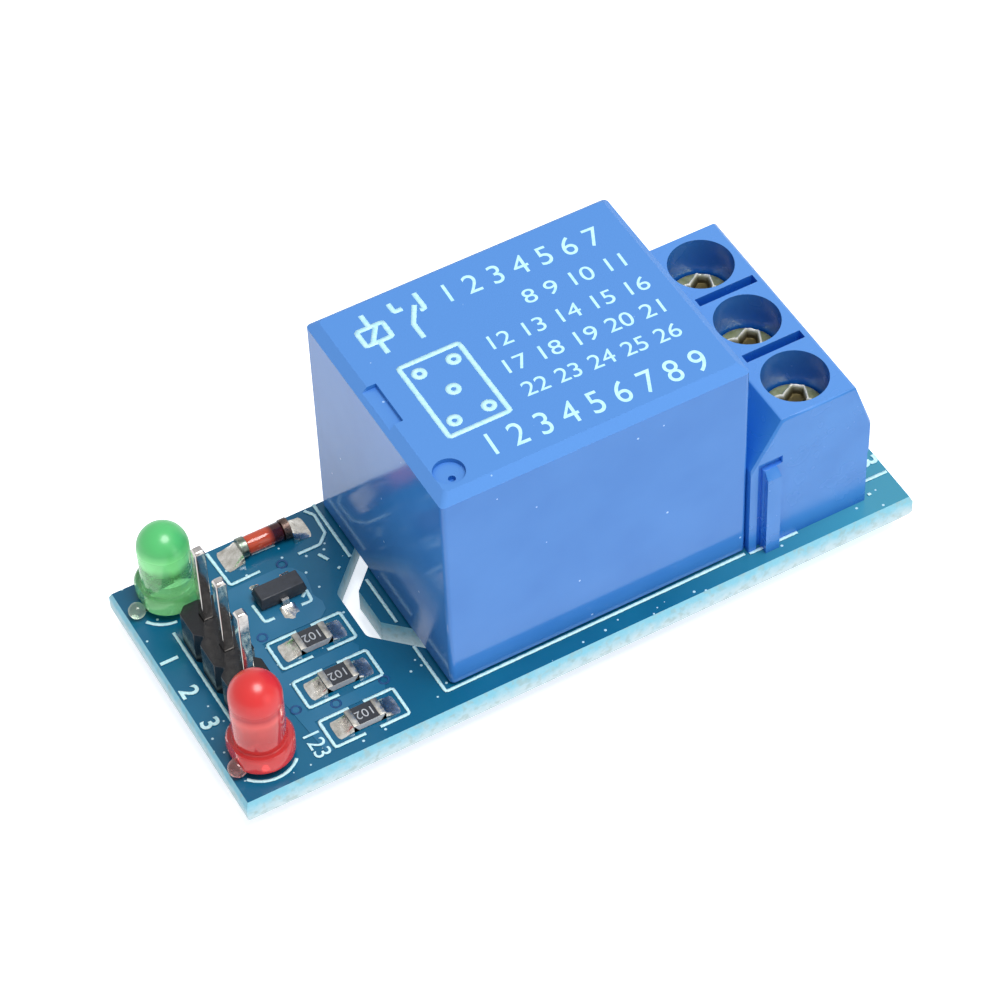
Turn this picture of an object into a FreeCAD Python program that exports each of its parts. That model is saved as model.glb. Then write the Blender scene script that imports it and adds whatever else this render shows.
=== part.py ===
import FreeCAD, Part
import math
import os

# Relay module board, in millimetres.
# Origin: centre of the board's outline, at the height of the solder tails' tips.
# X runs from the header end to the terminal block end, Z is up.

# Circuit board
board_length = 42.8
board_width = 17.2
board_thickness = 1.6
score_inset = 0.15
score_depth = 0.35
tail_length = 1.4
hole_clearance = 0.12

# Isolation slot, milled round the relay's common pin
slot_width = 1.15
slot_offset = 1.8
slot_straight = 3.1
slot_center_y = 0.2
slot_run_under = 1.3

# Relay cover
relay_x = 1.57
relay_y = 0.58
relay_length = 19.0
relay_width = 15.4
relay_height = 15.3
relay_standoff = 0.2
cover_wall = 0.8
cover_roof = 0.9
cover_chamfer = 0.55
cover_corner = 0.3
gate_length = 3.1
gate_reach = 1.1
gate_depth = 0.3
gate_center_y = 0.55
vent_radius = 0.9
vent_depth = 0.3
vent_hole_radius = 0.22
vent_hole_depth = 0.3
vent_hole_shift = 0.3
vent_inset_x = 1.45
vent_inset_y = 1.75

# Relay base and pins
base_gap = 0.1
base_recess = 0.2
base_thickness = 1.5
foot_size = 0.7
foot_inset = 1.4
pin_slot_gap = 0.05
common_inset = 2.3
coil_pin_step = 2.0
contact_inset = 2.5
pin_inset = 1.7
coil_pin_radius = 0.3
coil_pin_stub = 0.7
flat_pin_width = 1.0
flat_pin_thickness = 0.4
common_head = 2.2
common_head_thickness = 0.4

# Relay coil and magnet frame
coil_shift = 0.6
yoke_back_gap = 1.3
yoke_thickness = 1.0
yoke_inset = 0.1
yoke_pin_gap = 0.3
core_share = 0.33
core_shoulder = 0.5
core_head_share = 0.65
core_head_thickness = 0.7
bobbin_gap = 0.05
bobbin_wall = 0.8
bobbin_yoke_gap = 0.8
bobbin_flange = 0.7
bobbin_lug = 1.8
bobbin_lug_rim = 0.4
winding_inset = 0.4

# Relay armature and contacts
closing_angle = 3.0
hinge_air = 0.05
armature_thickness = 1.0
armature_width = 8.0
armature_past_core = 3.4
spring_thickness = 0.25
spring_width = 6.4
spring_tongue_width = 3.0
spring_tongue_past = 1.5
spring_leg_gap = 0.1
spring_leg_length = 4.0
contact_air = 0.05
moving_contact_radius = 1.0
moving_contact_height = 0.35
moving_contact_shank = 0.5
fixed_contact_radius = 1.1
fixed_contact_height = 0.4
strip_width = 2.0
strip_thickness = 0.4
strip_roof_gap = 0.2
strip_past_center = 1.3

# Terminal block housing
pole_count = 3
pole_pitch = 5.0
terminal_gap = 0.05
terminal_y = 0.15
terminal_depth = 7.95
terminal_height = 10.1
back_slope_height = 3.3
back_slope_run = 1.95
front_slope_height = 3.6
front_slope_run = 1.2
front_step = 0.17
front_step_height = 4.1
front_step_rise = 0.5
edge_break = 0.12
screw_offset = 4.33
screw_hole_radius = 1.93
top_slot_length = 3.8
top_slot_width = 0.6
top_slot_depth = 2.0
top_slot_shift = 0.15
rib_offset = 0.83
rib_width = 0.9
rib_flank = 0.1
rib_proud = 0.5
rib_height = 6.6
rib_chamfer = 0.45
rib_pocket_depth = 0.25
rib_pocket_side = 0.33
rib_pocket_top = 0.6
rib_slot_gap = 0.05
entry_width = 3.2
entry_funnel = 0.4
entry_funnel_depth = 0.9

# Terminal block screws, clamps and strips
screw_depth = 2.35
screw_head_radius = 1.8
screw_head_thickness = 0.9
screw_ledge = 0.4
screw_shank_radius = 1.25
screw_ledge_gap = 0.15
screw_tip_gap = 0.15
thread_gap = 0.05
recess_width = 0.62
recess_length = 2.5
recess_depth = 0.55
clamp_lift = 0.35
clamp_wall = 0.55
clamp_floor = 0.6
clamp_top = 0.7
clamp_width = 3.8
clamp_length = 3.4
clamp_gap = 0.15
wire_gap = 2.3
plate_thickness = 0.4
plate_width = 2.3
plate_gap = 0.05
plate_tongue = 0.4
plate_leg_gap = 0.25
plate_shoulder = 0.3
seat_gap = 0.02

# Pin header
header_pin_count = 3
header_pitch = 2.54
header_x = -18.05
header_y = -0.1
header_body_width = 2.5
header_body_height = 2.5
header_body_corner = 0.45
header_pin_size = 0.64
header_pin_height = 8.15
header_pin_point = 0.2

# Light-emitting diodes
green_led_x = -18.5
green_led_y = 6.6
green_led_height = 5.35
red_led_x = -19.05
red_led_y = -5.87
red_led_height = 6.1
led_standoff = 0.55
led_flange_radius = 1.9
led_flange_height = 1.15
led_body_radius = 1.5
led_flat = 1.7
led_lead_pitch = 2.54
led_lead_size = 0.5
led_frame_thickness = 0.4
led_bend_height = 0.6
led_anvil_bottom = 1.6
led_anvil_top = 2.5
led_anvil_span = (-1.0, 0.12)
led_post_span = (0.4, 0.95)
led_cup_radius = 0.42
led_cup_height = 0.35

# Flats on the small round forms that are hidden, to keep the model light
pin_sides = 10
coil_sides = 20

# Glass diode
diode_x = -12.2
diode_y = 7.25
diode_length = 3.15
diode_glass_radius = 0.55
diode_cap_radius = 0.62
diode_cap_length = 0.42
diode_stud_radius = 0.28
diode_chip_thickness = 0.25

# Transistor
transistor_x = -13.16
transistor_y = 3.45
transistor_length = 2.9
transistor_width = 1.3
transistor_height = 1.0
transistor_draft = 0.12
transistor_standoff = 0.08
transistor_span = 2.4
transistor_pair_pitch = 1.9
transistor_lead_width = 0.42
transistor_lead_thickness = 0.13
transistor_foot = 0.3
transistor_lead_height = 0.5

# Chip resistors
resistor_count = 3
resistor_x = -13.07
resistor_first_y = -0.36
resistor_pitch = 3.12
resistor_length = 2.0
resistor_width = 1.25
resistor_height = 0.5
resistor_cap_length = 0.38
resistor_cap_wall = 0.04

# Solder
cone_base_radius = 0.95
cone_tip_margin = 0.12
cone_belly = 0.35
solder_gap = 0.01
resistor_fillet = 0.95
resistor_fillet_rise = 0.36
diode_fillet = 1.1
diode_fillet_rise = 0.62
diode_fillet_width = 1.4
transistor_fillet = 0.45
transistor_fillet_rise = 0.12
fillet_lip = 0.05
fillet_sag = 0.35

# Heights and places that several pieces share
deck = tail_length + board_thickness
relay_left = relay_x - relay_length / 2
relay_right = relay_x + relay_length / 2
cover_bottom = deck + relay_standoff
cover_top = cover_bottom + relay_height
base_bottom = cover_bottom + base_recess
base_top = base_bottom + base_thickness
pin_spread = relay_width / 2 - pin_inset
common_x = relay_left + common_inset
coil_pin_x = common_x + coil_pin_step
contact_x = relay_right - contact_inset
core_x = relay_x - coil_shift
hinge_x = relay_left + cover_wall + yoke_back_gap
bobbin_reach = core_x - hinge_x - yoke_thickness - bobbin_yoke_gap
winding_radius = bobbin_reach - winding_inset
core_radius = winding_radius * core_share
core_rivet_radius = core_radius - core_shoulder
core_head_radius = winding_radius * core_head_share
yoke_width = 2 * (winding_radius - yoke_inset)
closed_strip_top = cover_top - cover_roof - strip_roof_gap
closed_contact_bottom = closed_strip_top - strip_thickness - fixed_contact_height
lift = math.radians(closing_angle)
contact_arm = contact_x + moving_contact_radius - hinge_x
contact_stack = armature_thickness + spring_thickness + moving_contact_height
hinge_z = closed_contact_bottom - contact_air - contact_arm * math.sin(lift) - contact_stack * math.cos(lift)
pole_z = hinge_z - hinge_air
open_contact_top = hinge_z + armature_thickness - moving_contact_height - contact_air
bobbin_bottom = base_top + yoke_thickness
bobbin_top = pole_z - core_head_thickness
terminal_back = relay_right + terminal_gap
terminal_front = terminal_back + terminal_depth
terminal_width = pole_count * pole_pitch
terminal_left_y = terminal_y - terminal_width / 2
terminal_right_y = terminal_y + terminal_width / 2
terminal_top = deck + terminal_height
screw_x = terminal_back + screw_offset
screw_head_top = terminal_top - screw_depth
screw_head_bottom = screw_head_top - screw_head_thickness
ledge_bottom = screw_head_bottom - screw_ledge
clamp_bottom = deck + clamp_lift
plate_bottom = clamp_bottom + clamp_floor + wire_gap
plate_top = plate_bottom + plate_thickness
clamp_roof = plate_top + plate_gap
clamp_back = screw_x - clamp_length / 2
clamp_front = screw_x + clamp_length / 2
leg_back = clamp_back - plate_leg_gap - plate_thickness
chamber_back = leg_back - seat_gap
chamber_front = clamp_front + clamp_gap
strip_pin_x = leg_back + plate_thickness / 2


def V(x, y, z):
    return FreeCAD.Vector(x, y, z)


def around(center, size):
    """The span of a size about a centre."""
    return (center - size / 2, center + size / 2)


def block(x_span, y_span, z_span):
    """A square-edged block between three spans."""
    low = V(x_span[0], y_span[0], z_span[0])
    length = x_span[1] - x_span[0]
    width = y_span[1] - y_span[0]
    height = z_span[1] - z_span[0]
    return Part.makeBox(length, width, height, low)


def rod(x, y, z_span, radius):
    """An upright round rod."""
    return Part.makeCylinder(radius, z_span[1] - z_span[0], V(x, y, z_span[0]))


def ring(x, y, z, radius, sides):
    """The corners of a level many-sided outline."""
    turns = [2 * math.pi * (side + 0.5) / sides for side in range(sides)]
    return [V(x + radius * math.cos(turn), y + radius * math.sin(turn), z) for turn in turns]


def rectangle(x_span, y_span, z):
    """The corners of a level rectangle."""
    return [
        V(x_span[0], y_span[0], z),
        V(x_span[1], y_span[0], z),
        V(x_span[1], y_span[1], z),
        V(x_span[0], y_span[1], z),
    ]


def skinned(outlines):
    """A solid with flat sides through outlines that have as many corners each."""
    faces = [Part.Face(Part.makePolygon(outline + outline[:1])) for outline in (outlines[0], outlines[-1])]
    for low, high in zip(outlines, outlines[1:]):
        for here in range(len(low)):
            there = (here + 1) % len(low)
            corners = [low[here], low[there], high[there], high[here], low[here]]
            faces.append(Part.Face(Part.makePolygon(corners)))
    solid = Part.makeSolid(Part.makeShell(faces))
    if solid.Volume < 0:
        solid.reverse()
    return solid


def flatted_rod(x, y, z_span, radius, sides):
    """A hidden round rod, with flats in place of its curve."""
    return skinned([ring(x, y, z, radius, sides) for z in z_span])


def plate_xz(points, y_span):
    """A flat outline in the XZ plane, given thickness along Y."""
    corners = [V(x, y_span[0], z) for x, z in points]
    face = Part.Face(Part.makePolygon(corners + corners[:1]))
    return face.extrude(V(0, y_span[1] - y_span[0], 0))


def plate_xy(points, z_span):
    """A flat outline in the XY plane, given height along Z."""
    corners = [V(x, y, z_span[0]) for x, y in points]
    face = Part.Face(Part.makePolygon(corners + corners[:1]))
    return face.extrude(V(0, 0, z_span[1] - z_span[0]))


def fused(shapes):
    """One solid from shapes that meet."""
    whole = shapes[0]
    for shape in shapes[1:]:
        whole = whole.fuse(shape)
    return whole.removeSplitter()


def cut_all(shape, tools):
    for tool in tools:
        shape = shape.cut(tool)
    return shape


def upright_edges(shape, x_places, y_places):
    """The vertical edges of a block at the given sides."""
    found = []
    for edge in shape.Edges:
        box = edge.BoundBox
        upright = box.XLength < 1e-6 and box.YLength < 1e-6
        at_x = any(abs(box.XMin - x) < 1e-6 for x in x_places)
        at_y = any(abs(box.YMin - y) < 1e-6 for y in y_places)
        if upright and at_x and at_y:
            found.append(edge)
    return found


def rounded_block(x_span, y_span, z_span, corner):
    """A block whose upright edges are round."""
    body = block(x_span, y_span, z_span)
    return body.makeFillet(corner, upright_edges(body, x_span, y_span))


def level_outline(shape, z):
    """The outer edge of the face that lies at one height."""
    for face in shape.Faces:
        if face.BoundBox.ZLength < 1e-6 and abs(face.BoundBox.ZMin - z) < 1e-6:
            return face.OuterWire
    raise ValueError("no level face at " + str(z))


def save(name, shape):
    if not shape.isValid():
        raise ValueError("shape of " + name + " is not valid")
    if not shape.Solids:
        raise ValueError("no solid in " + name)
    os.makedirs("parts", exist_ok=True)
    shape.exportStep("parts/" + name + ".step")


# Where the pins stand; a through-hole place is x, y, and half the diagonal of the pin


def pole_ys():
    first = terminal_y + pole_pitch * (pole_count - 1) / 2
    return [first - pole_pitch * place for place in range(pole_count)]


def header_ys():
    first = header_y + header_pitch * (header_pin_count - 1) / 2
    return [first - header_pitch * place for place in range(header_pin_count)]


def relay_pin_places():
    flat = math.hypot(flat_pin_width, flat_pin_thickness) / 2
    return [
        (common_x, relay_y, flat),
        (coil_pin_x, relay_y + pin_spread, coil_pin_radius),
        (coil_pin_x, relay_y - pin_spread, coil_pin_radius),
        (contact_x, relay_y + pin_spread, flat),
        (contact_x, relay_y - pin_spread, flat),
    ]


def terminal_pin_places():
    flat = math.hypot(flat_pin_width, plate_thickness) / 2
    return [(strip_pin_x, y, flat) for y in pole_ys()]


def header_pin_places():
    return [(header_x, y, header_pin_size / math.sqrt(2)) for y in header_ys()]


def led_pin_places():
    half = led_lead_pitch / 2
    diagonal = math.hypot(led_lead_size, led_frame_thickness) / 2
    places = []
    for x, y in ((green_led_x, green_led_y), (red_led_x, red_led_y)):
        places += [(x - half, y, diagonal), (x + half, y, diagonal)]
    return places


# Circuit board


def scored_outline(half):
    """A board edge to edge, with the slanted flanks that its scored grooves leave."""
    inner = half - score_inset
    low = tail_length + score_depth
    high = deck - score_depth
    return [
        (-inner, tail_length),
        (inner, tail_length),
        (half, low),
        (half, high),
        (inner, deck),
        (-inner, deck),
        (-half, high),
        (-half, low),
    ]


def milled_run(start, end, z_span):
    """The path of a milling cutter between two points."""
    run = math.hypot(end[0] - start[0], end[1] - start[1])
    turn = math.degrees(math.atan2(end[1] - start[1], end[0] - start[0]))
    lane = block((0, run), around(0, slot_width), z_span)
    lane.rotate(V(0, 0, 0), V(0, 0, 1), turn)
    lane.translate(V(start[0], start[1], 0))
    return fused([lane, rod(*start, z_span, slot_width / 2), rod(*end, z_span, slot_width / 2)])


def isolation_slot():
    z_span = (tail_length - 1, deck + 1)
    straight_x = relay_left - slot_offset
    side = slot_offset + slot_run_under
    half = slot_straight / 2
    points = [
        (straight_x + side, slot_center_y + half + side),
        (straight_x, slot_center_y + half),
        (straight_x, slot_center_y - half),
        (straight_x + side, slot_center_y - half - side),
    ]
    return fused([milled_run(a, b, z_span) for a, b in zip(points, points[1:])])


def circuit_board():
    half_width = board_width / 2
    half_length = board_length / 2
    board = plate_xz(scored_outline(half_length), (-half_width, half_width))
    across = plate_xz(scored_outline(half_width), (-half_length, half_length))
    across.rotate(V(0, 0, 0), V(0, 0, 1), 90)
    board = board.common(across).cut(isolation_slot())
    places = relay_pin_places() + terminal_pin_places() + header_pin_places() + led_pin_places()
    z_span = (tail_length - 1, deck + 1)
    holes = [flatted_rod(x, y, z_span, reach + hole_clearance, pin_sides) for x, y, reach in places]
    return cut_all(board, holes)


# Relay


def relay_cover():
    y_span = around(relay_y, relay_width)
    shoulder = cover_top - cover_chamfer
    walls = rounded_block((relay_left, relay_right), y_span, (cover_bottom, shoulder), cover_corner)
    crown_x = (relay_left + cover_chamfer, relay_right - cover_chamfer)
    crown_y = around(relay_y, relay_width - 2 * cover_chamfer)
    crown = rounded_block(crown_x, crown_y, (cover_top, cover_top + 1), cover_corner)
    outlines = [level_outline(walls, shoulder), level_outline(crown, cover_top)]
    shell = fused([walls, Part.makeLoft(outlines, True, True)])
    inside_x = (relay_left + cover_wall, relay_right - cover_wall)
    inside_y = around(relay_y, relay_width - 2 * cover_wall)
    hollow = block(inside_x, inside_y, (cover_bottom - 1, cover_top - cover_roof))
    gate_x = (relay_left - 1, relay_left + gate_reach)
    gate = block(gate_x, around(gate_center_y, gate_length), (cover_top - gate_depth, cover_top + 1))
    vent_x = relay_left + vent_inset_x
    vent_y = y_span[0] + vent_inset_y
    vent = rod(vent_x, vent_y, (cover_top - vent_depth, cover_top + 1), vent_radius)
    vent_bottom = cover_top - vent_depth - vent_hole_depth
    vent_z = (vent_bottom, cover_top)
    vent_hole = flatted_rod(vent_x, vent_y - vent_hole_shift, vent_z, vent_hole_radius, pin_sides)
    return cut_all(shell, [hollow, gate, vent, vent_hole])


def grown_pin(x, y, z_span, gap):
    """The space of a flat pin, with a gap all round."""
    return block(around(x, flat_pin_width + 2 * gap), around(y, flat_pin_thickness + 2 * gap), z_span)


def relay_base():
    margin = cover_wall + base_gap
    x_span = (relay_left + margin, relay_right - margin)
    y_span = around(relay_y, relay_width - 2 * margin)
    base = block(x_span, y_span, (base_bottom, base_top))
    feet = []
    for x in (relay_left + foot_inset, relay_right - foot_inset):
        for side in (-1, 1):
            foot_y = relay_y + side * (relay_width / 2 - foot_inset)
            feet.append(block(around(x, foot_size), around(foot_y, foot_size), (deck, base_bottom)))
    base = fused([base] + feet)
    through = (base_bottom - 1, base_top + 1)
    slots = [grown_pin(common_x, relay_y, through, pin_slot_gap)]
    for side in (-1, 1):
        y = relay_y + side * pin_spread
        slots.append(grown_pin(contact_x, y, through, pin_slot_gap))
        slots.append(flatted_rod(coil_pin_x, y, through, coil_pin_radius + pin_slot_gap, pin_sides))
    head_size = common_head + 2 * pin_slot_gap
    head_z = (base_top - common_head_thickness, base_top + 1)
    slots.append(block(around(common_x, head_size), around(relay_y, head_size), head_z))
    return cut_all(base, slots)


def relay_common_pin():
    head_z = (base_top - common_head_thickness, base_top)
    head = block(around(common_x, common_head), around(relay_y, common_head), head_z)
    return fused([head, grown_pin(common_x, relay_y, (0, head_z[0]), 0)])


def relay_coil_pin(side):
    top = bobbin_bottom + bobbin_flange + coil_pin_stub
    return flatted_rod(coil_pin_x, relay_y + side * pin_spread, (0, top), coil_pin_radius, pin_sides)


def relay_yoke():
    y_span = around(relay_y, yoke_width)
    foot = block((hinge_x, core_x + core_head_radius), y_span, (base_top, bobbin_bottom))
    leg = block((hinge_x, hinge_x + yoke_thickness), y_span, (base_top, pole_z))
    hole_z = (base_top - 1, bobbin_bottom + 1)
    holes = [flatted_rod(core_x, relay_y, hole_z, core_rivet_radius, coil_sides)]
    for side in (-1, 1):
        y = relay_y + side * pin_spread
        holes.append(flatted_rod(coil_pin_x, y, hole_z, coil_pin_radius + yoke_pin_gap, pin_sides))
    return cut_all(fused([foot, leg]), holes)


def relay_core():
    rivet = flatted_rod(core_x, relay_y, (base_top, bobbin_bottom), core_rivet_radius, coil_sides)
    shank = flatted_rod(core_x, relay_y, (bobbin_bottom, bobbin_top), core_radius, coil_sides)
    head = flatted_rod(core_x, relay_y, (bobbin_top, pole_z), core_head_radius, coil_sides)
    return fused([rivet, shank, head])


def relay_bobbin():
    barrel_radius = core_radius + bobbin_gap + bobbin_wall
    x_span = around(core_x, 2 * bobbin_reach)
    y_span = around(relay_y, 2 * bobbin_reach)
    lower_z = (bobbin_bottom, bobbin_bottom + bobbin_flange)
    upper_z = (bobbin_top - bobbin_flange, bobbin_top)
    lower = block(x_span, y_span, lower_z)
    upper = block(x_span, y_span, upper_z)
    barrel = flatted_rod(core_x, relay_y, (bobbin_bottom, bobbin_top), barrel_radius, coil_sides)
    lug_reach = 2 * (pin_spread + coil_pin_radius + bobbin_lug_rim)
    lug = block(around(coil_pin_x, bobbin_lug), around(relay_y, lug_reach), lower_z)
    body = fused([lower, upper, barrel, lug])
    bore_z = (bobbin_bottom - 1, bobbin_top + 1)
    tools = [flatted_rod(core_x, relay_y, bore_z, core_radius + bobbin_gap, coil_sides)]
    for side in (-1, 1):
        y = relay_y + side * pin_spread
        tools.append(flatted_rod(coil_pin_x, y, bore_z, coil_pin_radius + seat_gap, pin_sides))
    return cut_all(body, tools)


def relay_winding():
    z_span = (bobbin_bottom + bobbin_flange, bobbin_top - bobbin_flange)
    barrel_radius = core_radius + bobbin_gap + bobbin_wall
    body = flatted_rod(core_x, relay_y, z_span, winding_radius, coil_sides)
    return body.cut(flatted_rod(core_x, relay_y, z_span, barrel_radius + seat_gap, coil_sides))


def lifted(shape):
    """Tilt a piece from the pulled-in position to the rest position about the hinge."""
    shape.rotate(V(hinge_x, relay_y, hinge_z), V(0, 1, 0), -closing_angle)
    return shape


def relay_armature():
    x_span = (hinge_x, core_x + armature_past_core)
    z_span = (hinge_z, hinge_z + armature_thickness)
    return lifted(block(x_span, around(relay_y, armature_width), z_span))


def spring_outline(tip_x):
    """The spring's bent strip from its leg behind the yoke to a tip, in the rest position."""
    under = armature_thickness
    over = armature_thickness + spring_thickness
    inner = -spring_leg_gap
    outer = -spring_leg_gap - spring_thickness
    corners = [(outer, over), (tip_x - hinge_x, over), (tip_x - hinge_x, under), (inner, under)]
    leg_end = hinge_z - spring_leg_length
    points = [(hinge_x + outer, leg_end)]
    for reach, height in corners:
        x = hinge_x + reach * math.cos(lift) - height * math.sin(lift)
        z = hinge_z + reach * math.sin(lift) + height * math.cos(lift)
        points.append((x, z))
    points.append((hinge_x + inner, leg_end))
    return points


def relay_contact_spring():
    armature_end = core_x + armature_past_core
    broad = plate_xz(spring_outline(armature_end), around(relay_y, spring_width))
    tip_x = contact_x + spring_tongue_past
    tongue = plate_xz(spring_outline(tip_x), around(relay_y, spring_tongue_width))
    strip = fused([broad, tongue])
    hole_z = (hinge_z, hinge_z + contact_stack)
    hole = lifted(flatted_rod(contact_x, relay_y, hole_z, moving_contact_shank + seat_gap, pin_sides))
    return strip.cut(hole)


def relay_moving_contact():
    spring_bottom = hinge_z + armature_thickness
    spring_top = spring_bottom + spring_thickness
    under_z = (spring_bottom - moving_contact_height, spring_bottom)
    over_z = (spring_top, spring_top + moving_contact_height)
    under = flatted_rod(contact_x, relay_y, under_z, moving_contact_radius, coil_sides)
    over = flatted_rod(contact_x, relay_y, over_z, moving_contact_radius, coil_sides)
    shank = flatted_rod(contact_x, relay_y, (spring_bottom, spring_top), moving_contact_shank, pin_sides)
    return lifted(fused([under, shank, over]))


def contact_strip(side, top):
    """A fixed contact's strip: a broad post on the base, an arm over the middle and a pin below."""
    x_span = around(contact_x, strip_width)
    post_y = relay_y + side * pin_spread
    post = block(x_span, around(post_y, strip_thickness), (base_top, top))
    outer = post_y + side * strip_thickness / 2
    inner = relay_y - side * strip_past_center
    arm = block(x_span, (min(outer, inner), max(outer, inner)), (top - strip_thickness, top))
    return fused([post, arm, grown_pin(contact_x, post_y, (0, base_top), 0)])


def fixed_contact(bottom):
    z_span = (bottom, bottom + fixed_contact_height)
    return flatted_rod(contact_x, relay_y, z_span, fixed_contact_radius, coil_sides)


# Terminal block


def terminal_outline():
    """The block's section from the relay side round to the wire side."""
    recessed = terminal_front - front_step
    step_top = deck + front_step_height + front_step_rise
    return [
        (terminal_back, deck),
        (recessed, deck),
        (recessed, deck + front_step_height),
        (terminal_front, step_top),
        (terminal_front, terminal_top - front_slope_height),
        (terminal_front - front_slope_run, terminal_top),
        (terminal_back + back_slope_run, terminal_top),
        (terminal_back, terminal_top - back_slope_height),
    ]


def rib_outline(face_y, side, width, reach):
    """A dovetail that widens away from the end face."""
    middle = terminal_back + rib_offset + rib_width / 2
    root = width / 2 - rib_flank
    return [
        (middle - root, face_y),
        (middle + root, face_y),
        (middle + width / 2, face_y + side * reach),
        (middle - width / 2, face_y + side * reach),
    ]


def rib_pocket():
    """The shallow pocket that frames the rib, behind it and above it."""
    floor = terminal_left_y + rib_pocket_depth
    y_span = (terminal_left_y - 1, floor)
    left = terminal_back + rib_offset - rib_pocket_side
    right = terminal_back + rib_offset + rib_width
    top = deck + rib_height
    behind = block((left, terminal_back + rib_offset), y_span, (deck - 1, top))
    above = block((left, right + rib_pocket_side), y_span, (top, top + rib_pocket_top))
    return fused([behind, above])


def terminal_rib():
    z_span = (deck, deck + rib_height)
    outline = rib_outline(terminal_left_y + rib_pocket_depth, -1, rib_width, rib_proud + rib_pocket_depth)
    rib = plate_xy(outline, z_span)
    out = terminal_left_y - rib_proud
    corner = [
        V(terminal_back, out, z_span[1] - rib_chamfer),
        V(terminal_back, out + rib_chamfer, z_span[1]),
        V(terminal_back, out, z_span[1]),
    ]
    wedge = Part.Face(Part.makePolygon(corner + corner[:1])).extrude(V(terminal_depth, 0, 0))
    return rib.cut(wedge)


def wire_entry(y):
    """A wire's way in: a straight throat with a funnel at the block's face."""
    throat_z = (clamp_bottom + clamp_floor, plate_bottom)
    throat = block((chamber_front - 1, terminal_front), around(y, entry_width), throat_z)
    mouths = []
    face = terminal_front - front_step
    for x, grow in ((face - entry_funnel_depth, 0), (face, entry_funnel), (terminal_front + 1, entry_funnel)):
        y_low, y_high = around(y, entry_width + 2 * grow)
        z_low, z_high = throat_z[0] - grow, throat_z[1] + grow
        mouths.append([V(x, y_low, z_low), V(x, y_high, z_low), V(x, y_high, z_high), V(x, y_low, z_high)])
    return throat.fuse(skinned(mouths))


def pole_chamber(y):
    """What one pole hollows out: screw hole, ledge hole, clamp chamber, tongue seat and entry."""
    chamber_y = around(y, clamp_width + 2 * clamp_gap)
    seat_y = around(y, plate_width + 2 * seat_gap)
    seat_x = (chamber_front - 1, chamber_front + plate_tongue + seat_gap)
    seat_z = (plate_bottom - seat_gap, plate_top + seat_gap)
    return [
        rod(screw_x, y, (screw_head_bottom, terminal_top + 1), screw_hole_radius),
        rod(screw_x, y, (ledge_bottom - 1, terminal_top), screw_shank_radius + screw_ledge_gap),
        block((chamber_back, chamber_front), chamber_y, (deck - 1, ledge_bottom)),
        block(seat_x, seat_y, seat_z),
        wire_entry(y),
    ]


def terminal_housing():
    body = plate_xz(terminal_outline(), (terminal_left_y, terminal_right_y))
    lowest = deck + front_step_height + front_step_rise / 2
    sharp = [edge for edge in body.Edges if edge.BoundBox.ZMin > lowest]
    body = body.makeChamfer(edge_break, sharp)
    tools = [rib_pocket()]
    slot_width_out = rib_width + 2 * rib_slot_gap
    slot_reach = rib_proud + rib_slot_gap
    slot_z = (deck - 1, deck + rib_height + rib_slot_gap)
    tools.append(plate_xy(rib_outline(terminal_right_y, -1, slot_width_out, slot_reach), slot_z))
    ys = pole_ys()
    for y in ys:
        tools += pole_chamber(y)
    slot_x = around(screw_x + top_slot_shift, top_slot_length)
    for y in ys[1:]:
        slot_y = around(y + pole_pitch / 2, top_slot_width)
        tools.append(block(slot_x, slot_y, (terminal_top - top_slot_depth, terminal_top + 1)))
    return fused([cut_all(body, tools), terminal_rib()])


def terminal_screw(y):
    """A cheese-head screw with a cross recess; its fine thread is left plain."""
    tip = plate_top + screw_tip_gap
    head = rod(screw_x, y, (screw_head_bottom, screw_head_top), screw_head_radius)
    shank = rod(screw_x, y, (tip, screw_head_bottom), screw_shank_radius)
    recess_z = (screw_head_top - recess_depth, screw_head_top + 1)
    along = block(around(screw_x, recess_length), around(y, recess_width), recess_z)
    across = block(around(screw_x, recess_width), around(y, recess_length), recess_z)
    return cut_all(fused([head, shank]), [along, across])


def terminal_clamp(y):
    """The rising clamp: a folded frame, open along the wire, with the screw's threaded hole."""
    x_span = (clamp_back, clamp_front)
    frame = block(x_span, around(y, clamp_width), (clamp_bottom, clamp_roof + clamp_top))
    window_z = (clamp_bottom + clamp_floor, clamp_roof)
    window_x = (clamp_back - 1, clamp_front + 1)
    window = block(window_x, around(y, clamp_width - 2 * clamp_wall), window_z)
    thread = rod(screw_x, y, (clamp_roof - 1, clamp_roof + clamp_top + 1), screw_shank_radius + thread_gap)
    return cut_all(frame, [window, thread])


def terminal_strip(y):
    """The fixed strip: a tongue over the wire, a leg behind the clamp and a solder pin."""
    leg_x = (leg_back, leg_back + plate_thickness)
    shoulder = deck + plate_shoulder
    tongue_x = (leg_back, chamber_front + plate_tongue)
    tongue = block(tongue_x, around(y, plate_width), (plate_bottom, plate_top))
    leg = block(leg_x, around(y, plate_width), (shoulder, plate_top))
    pin = block(leg_x, around(y, flat_pin_width), (0, shoulder))
    return fused([tongue, leg, pin])


# Pin header


def header_body():
    half = header_body_width / 2
    cut = half - header_body_corner
    cells = []
    for y in header_ys():
        end = header_pitch / 2
        side = end - header_body_corner
        outline = [
            (header_x - half, y - side),
            (header_x - cut, y - end),
            (header_x + cut, y - end),
            (header_x + half, y - side),
            (header_x + half, y + side),
            (header_x + cut, y + end),
            (header_x - cut, y + end),
            (header_x - half, y + side),
        ]
        cells.append(plate_xy(outline, (deck, deck + header_body_height)))
    size = header_pin_size + 2 * solder_gap
    z_span = (deck - 1, deck + header_body_height + 1)
    holes = [block(around(header_x, size), around(y, size), z_span) for y in header_ys()]
    return cut_all(fused(cells), holes)


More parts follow.
